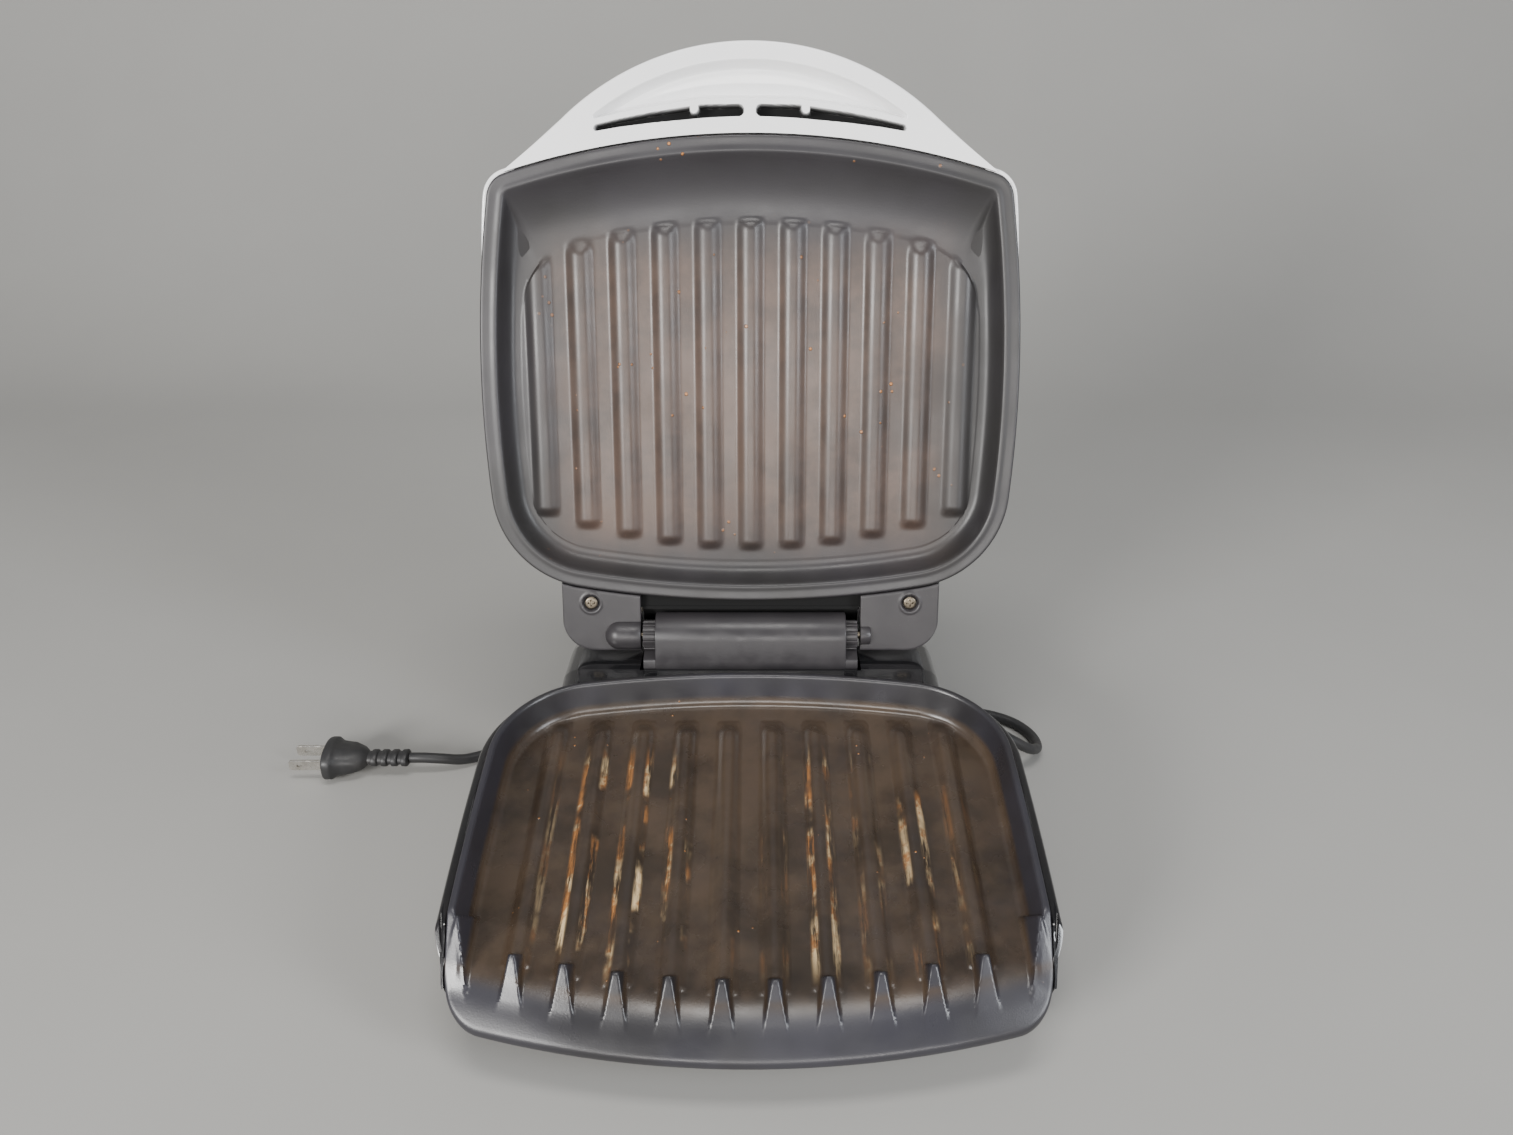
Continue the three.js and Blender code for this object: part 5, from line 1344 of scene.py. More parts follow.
@dataclass
class Lid:
    """The white shell over the upper plate, with its handle hood, vent slots and hinge cover."""

    paint: Paint
    plan: PanPlan = PanPlan(130.0, -119.0, 103.5, 390.0, 520.0, 600.0, 12.0, 50.0)
    hood_radius: float = 129.0
    hood_front: float = -159.0
    hood_turn: float = math.radians(48.0)
    proud: float = 0.35
    wrap: float = 1.7
    wall: float = 2.5
    crown: float = 41.8
    recess_lip: float = 8.0
    recess_depth: float = 7.5
    recess_reach: float = 72.0
    slot_reach: float = 71.5
    tab_x: float = 25.5
    extension_half: float = 94.7
    extension_rear: float = 129.7

    @property
    def hood_centre(self) -> float:
        """Centre of the hood's front arc."""
        return self.hood_front + self.hood_radius

    @property
    def face_reach(self) -> float:
        """How far to each side the handle's face reaches."""
        return self.plan.half_width - 16.0

    def hood_edge(self, x: Array) -> Array:
        """The hood's front edge: an arc, then a curve (two straight pulls) that meets the lid's corner."""
        x = np.abs(x)
        end_x = self.hood_radius * math.cos(self.hood_turn)
        end_y = self.hood_centre - self.hood_radius * math.sin(self.hood_turn)
        arc = self.hood_centre - np.sqrt(np.maximum(self.hood_radius**2 - np.minimum(x, end_x) ** 2, 0.0))
        last = (self.face_reach, float(self.rim_edge(np.array(self.face_reach))) - 1.2)
        t = np.linspace(0.0, 1.0, 60)
        curve_x = (1 - t) ** 2 * end_x + 2 * t * (1 - t) * (end_x + 12.5) + t**2 * last[0]
        curve_y = (1 - t) ** 2 * end_y + 2 * t * (1 - t) * (end_y + 10.5) + t**2 * last[1]
        return np.where(x <= end_x, arc, np.interp(x, curve_x, curve_y))

    def rim_edge(self, x: Array) -> Array:
        """The front edge of the cooking plate's outline."""
        return self.plan.front + self.plan.front_radius - np.sqrt(self.plan.front_radius**2 - x**2)

    def own_plan(self, outline: Outline) -> Array:
        """The shell's plan without the hood: just outside the plate, prouder where it wraps the corners."""
        flat = outline.ring(0.0, 0.0)[:, :2]
        extra = self.wrap * (1.0 - ease(flat[:, 1], -100.0, -45.0))
        return flat + (self.proud + extra)[:, None] * outline.normals

    def outer_plan(self, outline: Outline) -> tuple[Array, Array]:
        """The lid's plan with the hood, and the share of each point that belongs to the hood.

        The point at each bearing is the further out of the shell's own outline and the hood's edge.
        """
        own = self.own_plan(outline)
        x = np.linspace(-self.face_reach, self.face_reach, 801)
        hood = np.stack([x, self.hood_edge(x)], axis=-1)
        own_bearing = np.arctan2(own[:, 0], -own[:, 1])
        hood_bearing = np.arctan2(hood[:, 0], -hood[:, 1])
        reach = np.interp(own_bearing, hood_bearing, np.linalg.norm(hood, axis=1), left=0.0, right=0.0)
        own_reach = np.linalg.norm(own, axis=1)
        share = ease(reach - own_reach, 0.0, 3.0)
        return own * (np.maximum(reach, own_reach) / own_reach)[:, None], share

    def top_height(self, fraction: Array, hood: Array) -> Array:
        """Height of the outside over the rim: dome (1 - fraction^p)^(1/p), with p softer over the hood."""
        power = 3.4 - 1.25 * hood
        foot = 6.0 - 3.0 * hood
        return foot + (self.crown - foot) * np.maximum(1.0 - fraction**power, 0.0) ** (1.0 / power)

    def shell(self) -> None:
        """The domed shell: from the crown out to the rim, round its edge and back up inside."""
        outline = self.plan.sampled(220, 120)
        outer, hood = self.outer_plan(outline)
        own = self.own_plan(outline)
        rows = []
        for fraction in np.concatenate([np.linspace(0.04, 0.9, 30),
                                        1.0 - 0.1 * np.cos(np.linspace(0.35, 1.5, 10))]):
            keep = ease(fraction, 0.45, 0.97)
            flat = fraction * (own * (1.0 - keep) + outer * keep)
            rows.append(np.column_stack([flat, RIM_Z + self.top_height(np.full(len(flat), fraction), hood)]))
        wrapped = np.maximum(hood, 1.0 - ease(own[:, 1], -92.0, -50.0))
        bottom = RIM_Z + 4.95 - wrapped * 2.75

        def edge(inset: float, height: Array | float) -> Array:
            reach = np.linalg.norm(outer, axis=1, keepdims=True)
            return np.column_stack([outer * (1.0 - inset / reach), np.broadcast_to(height, len(outer))])

        rows += [edge(0.0, bottom + 0.85), edge(0.0, bottom + 0.6), edge(0.2, bottom + 0.2),
                 edge(0.6, bottom), edge(self.wall - 0.6, bottom), edge(self.wall, bottom + 0.5)]
        inner = edge(self.wall, RIM_Z + 5.0)
        rows.append(inner)
        for fraction in (0.97, 0.93, 0.86, 0.74, 0.6, 0.4, 0.2, 0.04):
            keep = ease(fraction, 0.45, 0.97)
            flat = fraction * (own * (1.0 - keep) + inner[:, :2] * keep)
            height = RIM_Z + self.top_height(np.full(len(flat), fraction), hood) - self.wall
            rows.append(np.column_stack([flat, np.maximum(height, RIM_Z + 5.0)]))
        form = placed(loft(np.stack(rows)), LID)
        self.paint.dress(form.mesh("lid_dome", 45.0), Body.LID, Slot.WHITE, ["lid_shell"])

    def face_heights(self, x: Array, y: Array) -> Array:
        """How deep the handle's underside is set in, over the rim plane.

        The recess has a lip of even width in front, a rear wall just ahead of the slots, slanting ends and a
        dished floor. Each slot widens to its middle, has round ends and is crossed by a round-ended tab.
        """
        flat = -0.4
        side = np.abs(x)
        front = np.hypot(x, y - self.hood_centre) - (self.hood_radius - self.recess_lip)
        rear = self.slot_front(side) - 2.6 - y
        ends = (self.recess_reach - side) * 0.75
        inside = np.minimum(np.minimum(-front, rear * 1.3), ends)
        recess = self.recess_depth * ease(inside, -0.2, 3.4) + 1.2 * ease(inside, 3.0, 14.0)
        slot = self.slot_inside(x, y)
        return flat + recess + 9.0 * ease(slot, -0.25, 0.45)

    def slot_front(self, side: Array) -> Array:
        """The slots' edge towards the handle."""
        return np.interp(side, [0.0, 6.0, 22.0, 45.0, 60.0, 75.0],
                         [-131.6, -131.6, -131.3, -128.0, -125.2, -121.8])

    def slot_rear(self, side: Array) -> Array:
        """The slots' edge towards the plate."""
        return np.interp(side, [0.0, 6.0, 22.0, 45.0, 60.0, 75.0],
                         [-126.7, -126.7, -126.0, -123.9, -122.1, -119.6])

    def slot_inside(self, x: Array, y: Array) -> Array:
        """Distance inside a slot's edge; negative outside and under a tab."""
        side = np.abs(x)
        front = self.slot_front(side)
        rear = self.slot_rear(side)
        middle = (front + rear) / 2.0
        half = (rear - front) / 2.0
        across = half - np.abs(y - middle)
        inner = half - np.hypot(side - (2.9 + half), y - middle)
        outer = half - np.hypot(side - (self.slot_reach - half), y - middle)
        slot = np.where(side < 2.9 + half, inner, np.where(side > self.slot_reach - half, outer, across))
        tab_y = front + 1.1
        tab = np.hypot(side - self.tab_x, np.maximum(y - tab_y, 0.0)) - 2.1
        return np.minimum(slot, tab)

    def handle_face(self) -> None:
        """The handle's underside: a strip between the hood's edge and the plate, rounded at its outer edge.

        Rows are shared out between the two edges, close together at the slots.
        """
        half = self.face_reach
        ticks = np.concatenate([np.linspace(0.0, 8.0, 22), np.linspace(8.0, 22.5, 24)[1:],
                                np.linspace(22.5, 28.5, 22)[1:], np.linspace(28.5, 64.0, 54)[1:],
                                np.linspace(64.0, 73.0, 26)[1:], np.linspace(73.0, half, 46)[1:]])
        x = np.concatenate([-ticks[::-1][:-1], ticks])
        outer = self.hood_edge(x) + 0.02
        inner = self.rim_edge(x) - 0.45
        share = np.concatenate([np.linspace(0.07, 0.5, 40), np.linspace(0.5, 0.9, 62)[1:],
                                np.linspace(0.9, 1.0, 8)[1:]])
        y = outer[:, None] + (inner - outer)[:, None] * share[None]
        wide = np.broadcast_to(x[:, None], y.shape)
        depth = self.face_heights(wide, y)
        face = np.dstack([wide, y, RIM_Z + depth])
        width = (inner - outer)[:, None]
        lip_in = np.minimum(np.array([0.0, 0.0, 0.25, 0.8])[None], 0.06 * width)
        lip_z = np.array([2.6, 0.9, 0.1, -0.3])[None]
        edge_y = outer[:, None] + lip_in
        lip = np.dstack([np.broadcast_to(x[:, None], edge_y.shape), edge_y,
                         np.broadcast_to(RIM_Z + lip_z, edge_y.shape)])
        back_share = np.array([1.0, 0.9, 0.6, 0.3, 0.0])
        back_y = outer[:, None] + width * back_share[None]
        lift = np.array([3.2, 10.2, 10.6, 10.6, 2.8])[None] * np.ones((len(x), 1))
        narrow = ease(width, 6.0, 22.0)
        lift = 2.8 + (lift - 2.8) * narrow
        back = np.dstack([np.broadcast_to(x[:, None], back_y.shape), back_y, RIM_Z + lift])
        loops = np.concatenate([lip, face, back], axis=1)
        form = loft(loops)
        x, y, z = form.points.T
        # painted shade: the insides of the slot pockets are painted near black, standing for the dark inside
        # seen through the slots
        form.marks = {"painted_shade": ease(self.slot_inside(x, y), -0.4, 0.3) * ease(z, RIM_Z + 0.4, RIM_Z + 1.6)}
        self.paint.dress(placed(form, LID).mesh("lid_handle_face", 50.0), Body.LID, Slot.WHITE)

    def neck(self) -> None:
        """The cover over the hinge: a rounded cap behind the dome, notched for the hinge link.

        Rings of a rounded rectangle run from the crown to the edge, down the wall to its lower end, and back
        up inside. The lower end is higher over the link and where the plate is.
        """
        half, rear = self.extension_half, self.extension_rear
        loop = rounded_loop([(-half, 84.0), (half, 84.0), (half, rear), (-half, rear)],
                            [6.0, 6.0, 18.0, 18.0], 12)
        dense = np.concatenate([np.linspace(a, b, 14, endpoint=False) for a,
                                b in zip(loop, np.roll(loop, -1, axis=0))])
        keep = np.linalg.norm(np.diff(np.concatenate([dense, dense[:1]]), axis=0), axis=1) > 1e-4
        dense = dense[keep]
        normals = loop_normals(dense)
        middle = np.array([0.0, 104.0])

        def top(flat: Array, drawn_in: float) -> Array:
            along = np.interp(flat[:, 1], [80.0, 100.5, 118.0, 127.0, 130.0], [33.0, 30.0, 26.0, 22.0, 19.0])
            off = np.clip(np.abs(flat[:, 0]) - (half - 16.0), 0.0, 16.0)
            side = 32.0 - (16.0 - np.sqrt(256.0 - off**2)) * 0.9
            return RIM_Z + soft_min(along, side, 3.0) - drawn_in

        rows = []
        for share in (0.1, 0.4, 0.7, 0.88):
            flat = middle + (dense - middle) * share
            rows.append(np.column_stack([flat, top(flat, 0.0)]))
        for inset, drop in ((3.0, 0.0), (1.6, 0.25), (0.6, 0.9), (0.12, 1.8), (0.0, 3.0)):
            flat = dense - normals * inset
            rows.append(np.column_stack([flat, top(flat, drop)]))
        notch = np.abs(dense[:, 0]) < LINK_HALF_WIDTH + SIDE_CLEARANCE
        low = np.where(dense[:, 1] < 107.0, RIM_Z + 18.0, np.where(notch, HINGE_Z + 14.0, RIM_Z + 3.85))
        low = np.minimum(low, rows[-1][:, 2] - 0.5)
        rows += [np.column_stack([dense, low + 0.4]), np.column_stack([dense - normals * 0.4, low]),
                 np.column_stack([dense - normals * (self.wall - 0.3), low]),
                 np.column_stack([dense - normals * self.wall, low + 0.3])]
        flat = dense - normals * self.wall
        rows.append(np.column_stack([flat, np.maximum(top(flat, self.wall + 1.5), low + 0.5)]))
        for share in (0.8, 0.4, 0.1):
            flat = middle + (dense - middle) * share
            rows.append(np.column_stack([flat, top(flat, self.wall + 0.3)]))
        form = placed(loft(np.stack(rows)), LID)
        self.paint.dress(form.mesh("lid_hinge_cover", 45.0), Body.LID, Slot.WHITE)

    def lens(self) -> None:
        """The indicator's domed lens, standing a millimetre out of the hood."""
        y = -106.0
        height = float(self.top_height(np.array([-y / -self.hood_front]), np.array([1.0]))[0])
        start = np.array([0.0, y, RIM_Z + height - 6.0])
        dome = [(4.0 * math.cos(a), 5.6 + 1.5 * math.sin(a)) for a in np.linspace(0.0, 1.5, 9)]
        form = revolve([(0.05, 0.0), (4.0, 0.0), *dome], start, [0.0, -0.45, 1.0], 48)
        self.paint.dress(placed(form, LID).mesh("ready_lens", 40.0), Body.LID, Slot.LENS, ["indicator_lens"])

    def build(self) -> None:
        """Builds the lid's outer pieces."""
        self.shell()
        self.handle_face()
        self.neck()
        self.lens()


# ---- screws and feet


@dataclass(frozen=True)
class Screw:
    """A pan-head screw with a cross recess.

    Attributes:
        radius: Radius of the head.
        height: Height of the head.
        shank: Radius of the shank.
        length: Length from under the head.
    """

    radius: float = 3.2
    height: float = 1.9
    shank: float = 1.4
    length: float = 11.0

    def form(self, seat: Array, out: Array) -> Form:
        """The screw, seated under its head and facing out.

        The recess has the outline of a cross: at a bearing a from its nearest arm the edge is at the nearer
        of arm / cos a and half width / sin a. Rings of it sink and shrink to the bottom.

        Args:
            seat: Point under the middle of the head, in millimetres.
            out: Direction that the head faces.

        Returns:
            The form in millimetres.
        """
        turns = np.arange(64) * 2.0 * math.pi / 64
        off = np.abs((turns + math.pi / 4.0) % (math.pi / 2.0) - math.pi / 4.0)
        arm, half = 0.56 * self.radius, 0.15 * self.radius
        cross = np.minimum(arm / np.cos(off), half / np.maximum(np.sin(off), 1e-3))
        rounded = np.ones(64)
        r, h = self.radius, self.height
        rings = [(rounded * self.shank * 0.4, -self.length), (rounded * self.shank, -self.length + 1.5),
                 (rounded * self.shank, 0.0), (rounded * (r - 0.15), 0.0), (rounded * r, 0.2),
                 (rounded * r, 0.45 * h), (rounded * 0.94 * r, 0.75 * h), (rounded * 0.8 * r, 0.95 * h),
                 (rounded * 0.62 * r, h), (cross, h), (cross * 0.96, 0.9 * h), (cross * 0.7, 0.35 * h)]
        out = np.asarray(out, float)
        beside = np.cross(out, [1.0, 0.0, 0.0])
        beside /= np.linalg.norm(beside)
        upper = np.cross(out, beside)
        circle = np.cos(turns)[:, None] * beside + np.sin(turns)[:, None] * upper
        return loft(np.stack([np.asarray(seat) + reach * out + radius[:, None] * circle for radius,
                              reach in rings]))


# ---- housing


@dataclass
class Housing:
    """The glossy black housing under the lower plate, its rear deck, feet and cover screws."""

    paint: Paint
    plan: PanPlan = PanPlan(125.5, -84.0, 99.4, 410.0, 486.0, 2000.0, 22.0, 52.0)
    bottom: float = 7.0
    draft: float = 11.0
    band_top: float = 11.0
    wall: float = 2.5
    deck_half: float = 95.0
    deck_top: float = 10.0
    deck_rear: float = 143.0
    deck_knee: float = 115.0
    deck_fall: float = 0.414
    deck_corner: float = 10.0
    well_half: float = LINK_HALF_WIDTH + SIDE_CLEARANCE
    well_front: float = 17.5
    well_rear: float = 10.5
    feet: tuple[tuple[str, float, float], ...] = (
        ("front_left", -95.0, -54.0), ("front_right", 95.0, -54.0),
        ("rear_left", -67.5, 118.0), ("rear_right", 67.5, 118.0))
    posts: tuple[tuple[str, float, float], ...] = (
        ("front_left", -116.0, -34.0), ("front_right", 116.0, -34.0),
        ("rear_left", -88.5, 120.0), ("rear_right", 88.5, 120.0))

    def tub(self) -> Form:
        """The leaning wall and the glossy band round the plate.

        Rings run up the outside, over the band's round edge, down to the plate's ledge and down inside. A
        ring is held under the plate inside the plate's outline, and under the lip's slope elsewhere.
        """
        plate = LowerPlate(self.paint)
        outline = self.plan.sampled(190, 110, 1.0, 0.15)
        cooking = plate.plan.sampled(190, 110, 1.0, 0.15)
        edge = cooking.points
        front = ease(-outline.normals[:, 1], 0.25, 0.75)[:, None]

        def held(ring: Array) -> Array:
            x, y = ring[:, 0], ring[:, 1]
            gaps = ring[:, None, :2] - edge[None]
            near = np.argmin(np.einsum("ijk,ijk->ij", gaps, gaps), axis=1)
            outside = np.einsum("ij,ij->i", ring[:, :2] - edge[near], cooking.normals[near])
            slope = plate.slope(x, y)
            under = soft_min(np.full_like(slope, -PLATE_THICKNESS), slope - 4.4, 9.0) - 0.9
            limit = np.where(outside > 0.3, slope - 1.3, under)
            limit = np.minimum(limit, self.band_top - 19.0 * (1.0 - ease(y, -88.0, -50.0)))
            ring[:, 2] = np.minimum(ring[:, 2], limit + 0.02 * (ring[:, 2] - self.band_top))
            return ring

        def outer(share: float) -> Array:
            base = outline.ring(0.0, 0.0)
            low = plate_height(base[:, 1], self.bottom)
            height = low + (-12.0 - low) * share
            ring = outline.ring(-self.draft * (-12.0 - height) / 98.0, height)
            return held(ring)

        def inner(inset: float, height: float) -> Array:
            at_plate = cooking.ring(0.6 + inset, height)
            at_front = outline.ring(-4.5 + inset, height)
            return held(at_plate * (1.0 - front) + at_front * front)

        low = plate_height(outline.points[:, 1], self.bottom)
        top = self.band_top
        rows = [outer(share) for share in (0.0, 0.02, 0.3, 0.6, 0.85, 1.0)]
        rows += [held(outline.ring(inset, height)) for inset, height in (
            (0.0, -6.0), (0.0, 3.0), (0.0, top - 2.2), (-0.12, top - 1.5), (-0.45, top - 0.8),
            (-1.0, top - 0.25),
            (-1.6, top))]
        rows += [inner(0.9, top), inner(0.3, top - 0.3), inner(0.0, top - 1.0), inner(0.0, -5.0)]
        inside = outline.ring(-7.0, -6.0)
        rows += [held(inside), outline.ring(-7.0 - self.wall, low + 0.2)]
        return loft(np.stack(rows), closed=True)

    def deck(self) -> Form:
        """The rear deck with the well that the hinge link stands in.

        One side view (y, z) is carried across, its top lowered by a quarter round near both sides. Over the
        link's width the view has a notch; elsewhere the notch's depth is nothing.
        """
        plate = LowerPlate(self.paint)
        edge = plate.plan.sampled(190, 110).points
        rear_edge = edge[edge[:, 1] > 30.0]
        order = np.argsort(rear_edge[:, 0])
        side = np.concatenate([np.linspace(self.well_half, 84.0, 12),
                               85.0 + 10.0 * np.sin(np.linspace(0.0, math.pi / 2.0, 12))])
        middle = np.linspace(0.0, self.well_half, 12)
        xs = np.concatenate([-side[::-1], -middle[::-1], middle[1:], side])
        notched = np.concatenate([np.zeros(len(side)), np.ones(2 * len(middle) - 1), np.zeros(len(side))])
        start = np.interp(xs, rear_edge[order, 0], rear_edge[order, 1]) + 0.7
        off = np.clip(np.abs(xs) - (self.deck_half - self.deck_corner), 0.0, self.deck_corner)
        sunk = self.deck_corner - np.sqrt(self.deck_corner**2 - off**2)
        well = (HINGE_Y - self.well_front, HINGE_Y + self.well_rear)

        def top(y: Array | float) -> Array:
            y = np.broadcast_to(y, xs.shape).astype(float)
            fall = self.deck_top - self.deck_fall * (y - self.deck_knee)
            return soft_min(np.full_like(xs, self.deck_top), fall, 1.2) - sunk

        def point(y: Array | float, z: Array) -> Array:
            return np.stack([xs, np.broadcast_to(y, xs.shape), z], axis=-1)

        def notch(y: float, out: float, drop: float) -> Array:
            return point(y + out, top(y + out) - drop * notched)

        def low(y: Array | float, table: float) -> Array:
            return np.broadcast_to(plate_height(np.asarray(y, float), table), xs.shape)

        deep = float(plate_height(np.array(HINGE_Y), self.bottom + 3.2))
        depth = self.deck_top - deep
        rear = self.deck_rear
        points = [point(start, low(start, self.bottom + 2.4)), point(start, np.minimum(top(start), -5.0)),
                  point(start, top(start) - 0.6), point(start + 0.6, top(start + 0.6))]
        points += [point(y, top(y)) for y in (100.5, 103.0)]
        points += [notch(well[0], -0.7, 0.0), notch(well[0], -0.2, 0.2), notch(well[0], 0.0, 0.7),
                   notch(well[0], 0.0, depth), notch(well[1], 0.0, depth - 4.0), notch(well[1], 0.0, 0.7),
                   notch(well[1], 0.2, 0.2), notch(well[1], 0.7, 0.0)]
        points += [point(y, top(y)) for y in (136.0, rear - 2.0)]
        for turn in (30.0, 60.0, 90.0):
            a = math.radians(turn)
            points.append(point(rear - 2.0 + 2.0 * math.sin(a),
                                top(rear - 2.0) - 2.0 * (1.0 - math.cos(a)) - 0.5))
        points += [point(rear - 1.2, top(rear) - 24.0), point(rear - 3.6, low(rear - 3.6, self.bottom)),
                   point(rear - 4.6, low(rear - 4.6, self.bottom + 0.3))]
        return loft(np.stack(points, axis=1))

    def build(self) -> None:
        """Builds the housing, feet and screws."""
        shell = placed(self.tub(), PLATES).joined(placed(self.deck(), PLATES))
        self.paint.dress(shell.mesh("base_housing", 35.0), Body.BASE, Slot.BLACK, ["base_shell"])
        for name, x, y in self.feet:
            profile = [(0.05, 0.0), (5.6, 0.0), (6.3, 0.35), (6.6, 1.0), (7.3, 4.2), (7.8, 6.1), (7.6, 6.6),
                       (0.05, 6.7)]
            form = placed(revolve(profile, [x, y, 0.0], [0.0, 0.0, 1.0], 48), TABLE)
            self.paint.dress(form.mesh(f"rubber_foot_{name}", 40.0), Body.BASE, Slot.RUBBER, [f"foot_{name}"])
        for name, x, y in self.posts:
            form = Screw().form([x, y, self.bottom - 0.35], [0.0, 0.0, -1.0])
            self.paint.dress(placed(form, TABLE).mesh(f"housing_screw_{name}", 40.0), Body.BASE, Slot.SCREW,
                             [f"cover_screw_{name}"])


# ---- hinge


@dataclass
class Hinge:
    """The grey hinge link that rises from the base, and the moulding on the lid that turns on it."""

    paint: Paint
    half_thickness: float = 9.0
    half_width: float = 95.0
    rear: float = 130.0
    corner: float = 16.0
    screw_x: float = 80.5
    screw_y: float = 105.0
    cover_radius: float = 7.5
    cover_reach: float = 74.0
    leg_x: float = 38.0
    link_front: float = 16.0
    apron_top: float = 9.0
    ring: float = 6.0
    guard_radius: float = 13.3

    def apron(self, top: float) -> Array:
        """Side view (y, z) of the apron under the barrel, up to a height, slanting back over its front."""
        front, rear = HINGE_Y - self.link_front + 0.25, HINGE_Y + self.half_thickness
        return rounded_loop([(front, -14.0), (rear, -14.0), (rear, top),
                             (front + 0.4 * (top - self.apron_top), top),
                             (front, self.apron_top)], [0.8, 0.8, 0.8, 1.0, 1.0])

    def face(self) -> Array:
        """Side view of the barrel with the apron's slanting front, which touches the barrel where they meet.

        From the apron's edge at span from the axis the line leaves at the angle asin(radius / span).
        """
        rise = HINGE_Z - self.apron_top
        span = math.hypot(self.link_front, rise)
        tilt = math.asin(BARREL_RADIUS / span)
        pitch = math.atan2(rise, self.link_front) + tilt
        turns = np.linspace(pitch + math.pi / 2.0, -math.radians(40.0), 44)
        arc = np.stack([HINGE_Y + BARREL_RADIUS * np.cos(turns), HINGE_Z + BARREL_RADIUS * np.sin(turns)],
                       axis=-1)
        front = HINGE_Y - self.link_front
        low = np.array([(HINGE_Y + 8.0, -2.0), (front - 0.1, -2.0), (front - 0.1, self.apron_top - 0.8),
                        (front + 0.1, self.apron_top + 0.4)])
        return np.concatenate([arc, low])

    def link(self) -> None:
        """The barrel, its apron and narrow toothed end rings, and two legs with feet."""
        shoulder = LINK_HALF_WIDTH - self.ring
        body = bar(self.face(), -shoulder, shoulder, Axis.X, 0.6)
        bearing = np.arange(288) * 2.0 * math.pi / 288
        tooth = BARREL_RADIUS - 4.0 - 0.9 * ease(np.sin(bearing * 14.0), -0.2, 0.5)
        star = np.stack([HINGE_Y + tooth * np.cos(bearing), HINGE_Z + tooth * np.sin(bearing)], axis=-1)
        parts = [bar(self.apron(self.apron_top + 4.0), -LINK_HALF_WIDTH, LINK_HALF_WIDTH, Axis.X, 0.6)]
        parts += [bar(star, side * (shoulder - 0.5), side * LINK_HALF_WIDTH, Axis.X, 0.3) for side in (-1, 1)]
        for x in (-self.leg_x, self.leg_x):
            leg = rounded_loop([(x - 7, HINGE_Y - 5), (x + 7, HINGE_Y - 5), (x + 7, HINGE_Y + 5),
                                (x - 7, HINGE_Y + 5)],
                               [1.0] * 4)
            foot = rounded_loop([(x - 9.5, HINGE_Y - 7.5), (x + 9.5, HINGE_Y - 7.5), (x + 9.5, HINGE_Y + 7.5),
                                 (x - 9.5, HINGE_Y + 7.5)], [1.0] * 4)
            parts += [bar(leg, -46.8, -13.5, Axis.Z), bar(foot, -50.0, -46.6, Axis.Z)]
        form = placed(body.joined(*parts), PLATES)
        self.paint.dress(form.mesh("hinge_barrel_and_apron", 38.0), Body.LINK, Slot.GREY, ["hinge_link"])

    def wing(self, side: int) -> Form:
        """One flat wing beside the barrel, from the plate's outline to a round corner, with a screw's pocket.

        Columns run out from the barrel; each goes along the face from front to rear and back behind it.
        """
        plan = UpperPlate(self.paint).plan.sampled(190, 110)
        rear_edge = plan.points[plan.points[:, 1] > 30.0]
        order = np.argsort(rear_edge[:, 0])
        start = LINK_HALF_WIDTH + SIDE_CLEARANCE
        end = self.half_width
        xs = np.concatenate([[start, start + 0.25, start + 0.8], np.linspace(start + 1.4, end - 4.0, 70),
                             end - 4.0 * (1.0 - np.sin(np.linspace(0.0, math.pi / 2.0, 14)[1:]))])
        front = np.interp(xs, rear_edge[order, 0], rear_edge[order, 1]) + 0.5
        off = np.clip(xs - (end - self.corner), 0.0, self.corner)
        rear = self.rear - (self.corner - np.sqrt(np.maximum(self.corner**2 - off**2, 0.0)))
        rear = np.maximum(rear, front + 0.4)
        share = np.concatenate([[0.0, 0.006, 0.02], np.linspace(0.05, 0.96, 56), [0.98, 0.994, 1.0]])
        y = front[:, None] + (rear - front)[:, None] * share[None]
        x = np.broadcast_to(xs[:, None], y.shape)
        edge = np.minimum(np.minimum(y - front[:, None], rear[:, None] - y), np.minimum(x - start, end - x))
        rounding = 0.7 * (1.0 - np.sqrt(np.clip(1.0 - (1.0 - np.clip(edge / 0.7, 0.0, 1.0)) ** 2, 0.0, 1.0)))
        gap = np.hypot(x - self.screw_x, y - self.screw_y)
        pocket = 1.5 * (1.0 - ease(gap, 3.6, 4.3)) - 0.35 * ease(gap, 4.2, 4.7) * (1.0 - ease(gap, 5.4, 6.0))
        face = np.dstack([x * side, y, RIM_Z + 0.5 + rounding + pocket])
        back = np.dstack([x * side, y, np.full(x.shape, RIM_Z + 3.6)])[:, ::-1]
        return loft(np.concatenate([face, back], axis=1))

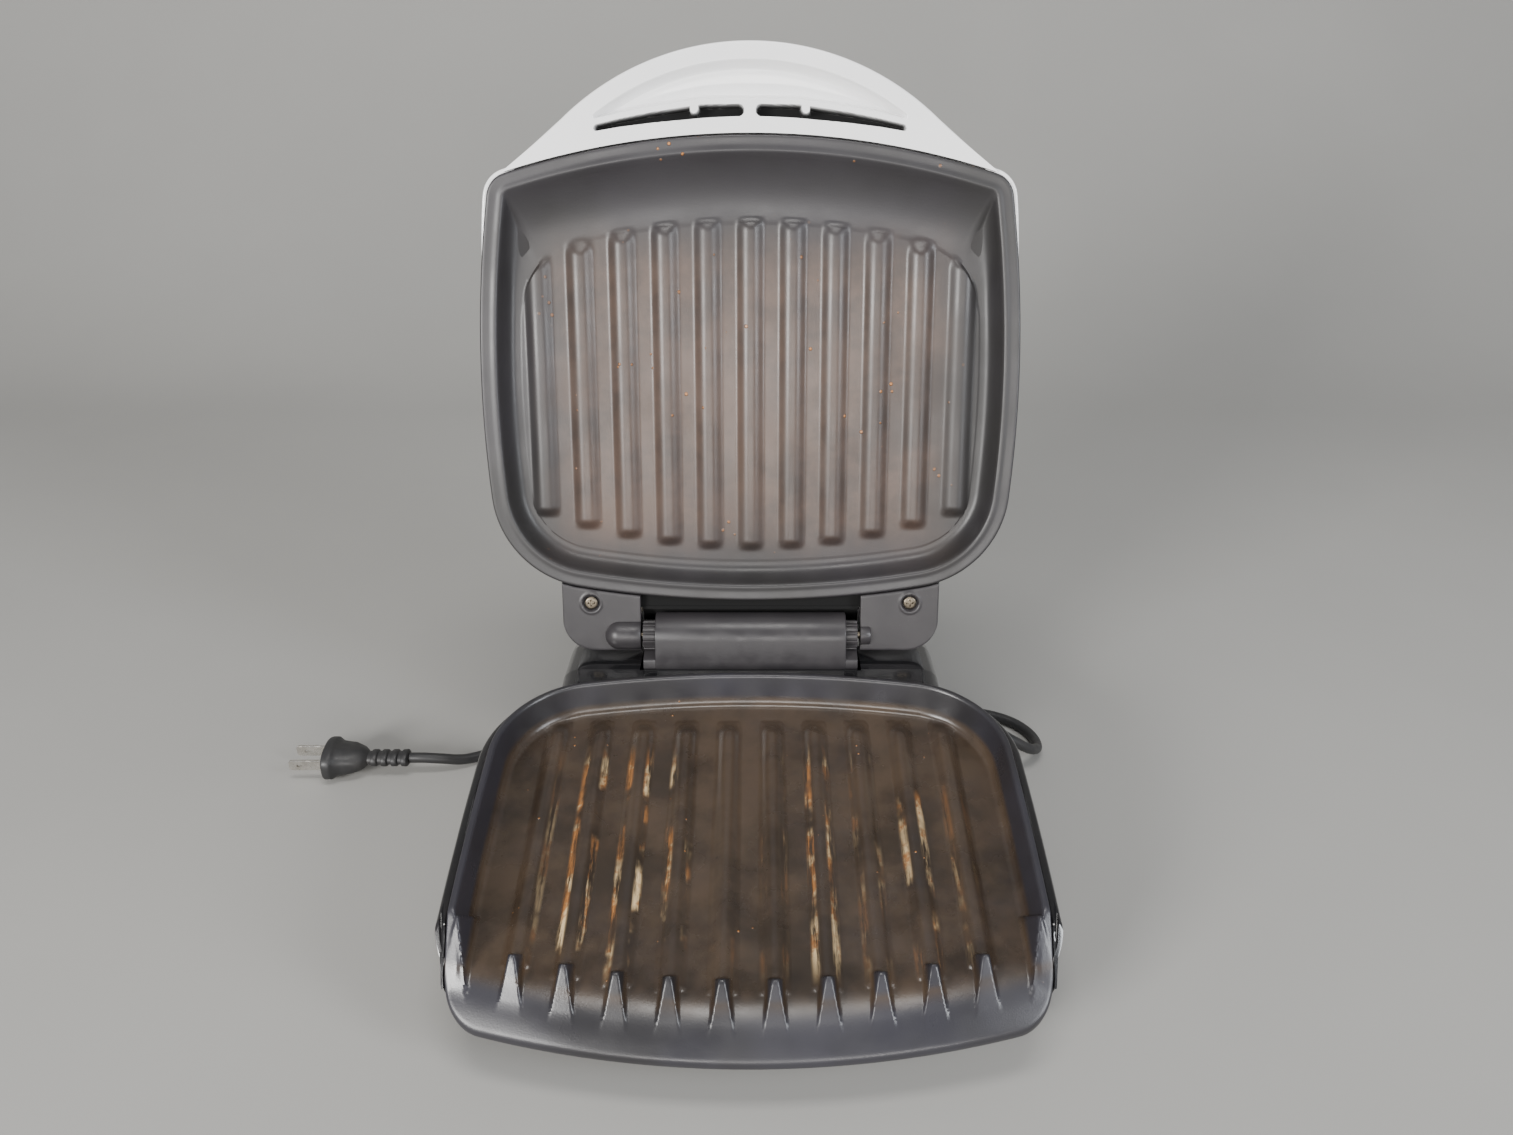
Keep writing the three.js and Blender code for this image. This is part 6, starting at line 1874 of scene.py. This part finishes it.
    def bracket(self) -> None:
        """Both wings, the strip behind the barrel and its guard (painted in shade, near black), the right ear
        and the left wire cover.
        """
        plan = UpperPlate(self.paint).plan
        strip_rear = HINGE_Y - BARREL_RADIUS - 2.3
        strip = rounded_loop([(plan.rear - 4.0, RIM_Z + 5.0), (strip_rear, RIM_Z + 5.0),
                              (strip_rear, RIM_Z + 6.6),
                              (plan.rear - 4.0, RIM_Z + 6.6)], [0.6] * 4)
        turns = np.radians(np.linspace(170.0, 100.0, 16))
        ring = np.stack([np.cos(turns), np.sin(turns)], axis=-1)
        guard = np.concatenate([ring * self.guard_radius, ring[::-1] * (self.guard_radius + 1.4)])
        bridge = bar(strip, -57.0, 57.0, Axis.X).joined(
            bar(guard + [HINGE_Y, HINGE_Z], -LINK_HALF_WIDTH - 1.2, LINK_HALF_WIDTH + 1.2, Axis.X, 0.3))
        # painted shade: the strip and its guard are painted near black and matte for the shaded gap behind
        # the barrel
        bridge.marks = {"painted_shade": np.ones(len(bridge.points))}
        start = LINK_HALF_WIDTH + SIDE_CLEARANCE
        axis = [start, HINGE_Y, HINGE_Z]
        ear = revolve([(0.05, 0.0), (4.7, 0.0), (5.0, 0.3), (5.0, 4.6), (4.5, 5.3), (3.6, 5.5), (0.05, 5.5)],
                      axis, [1.0, 0.0, 0.0], 40)
        radius = self.cover_radius
        straight = self.cover_reach - start - radius
        nose = [(max(radius * math.cos(a), 0.05), straight + radius * math.sin(a))
                for a in np.linspace(0.0, math.pi / 2.0, 14)]
        cover = revolve([(0.05, 0.0), (radius - 0.3, 0.0), (radius, 0.4), (radius, straight * 0.5), *nose],
                        [-start, HINGE_Y, HINGE_Z], [-1.0, 0.0, 0.0], 56)
        form = placed(bridge.joined(self.wing(1), self.wing(-1).turned_out(), ear, cover), LID)
        self.paint.dress(form.mesh("lid_hinge_moulding", 40.0), Body.LID, Slot.GREY, ["hinge_bracket"])

    def build(self) -> None:
        """Builds the link, the moulding and its two screws."""
        self.link()
        self.bracket()
        for name, side in (("left", -1), ("right", 1)):
            form = Screw(3.3, 1.1, 1.4, 10.0).form([side * self.screw_x, self.screw_y, RIM_Z + 1.75],
                                                   [0.0, 0.0, -1.0])
            self.paint.dress(placed(form, LID).mesh(f"moulding_screw_{name}", 40.0), Body.LID, Slot.SCREW,
                             [f"bracket_screw_{name}"])


CARRIED: dict[Slot, tuple[str, ...]] = {
    Slot.BLACK: ("bottom_cover",),
    Slot.GREY: ("hinge_guide_left", "hinge_guide_right"),
    Slot.ELEMENT: ("lower_heating_element", "upper_heating_element"),
    Slot.SHIELD: ("lower_heat_shield", "upper_heat_shield", "thermal_fuse"),
    Slot.CERAMIC: ("thermostat", "terminal_block", "indicator_lamp"),
    Slot.LEAD: ("lower_lead", "upper_lead"),
    Slot.SCREW: ("lower_shield_screw_left", "lower_shield_screw_right", "upper_shield_screw_left",
                 "upper_shield_screw_right", "hinge_pin_left", "hinge_pin_right"),
}


def carry_over(paint: Paint) -> None:
    """Gives the model's own nodes that stay in view the finishes of their slots."""
    for slot, names in CARRIED.items():
        for name in names:
            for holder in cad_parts[name].material_slots:
                holder.material = paint.of(slot)
            LOG.info("%s: kept, %s", name, slot.value)


def main() -> None:
    """Builds the scene in order: camera and lead first, then each sub-assembly."""
    logging.basicConfig(level=logging.INFO, format="%(name)s: %(message)s")
    studio = Studio()
    studio.camera()
    paint = Paint()
    PowerCord(paint).build()
    studio.lights()
    studio.floor()
    for assembly in (LowerPlate(paint), Housing(paint), UpperPlate(paint), Lid(paint), Hinge(paint)):
        assembly.build()
    carry_over(paint)


if __name__ == "__main__":
    main()
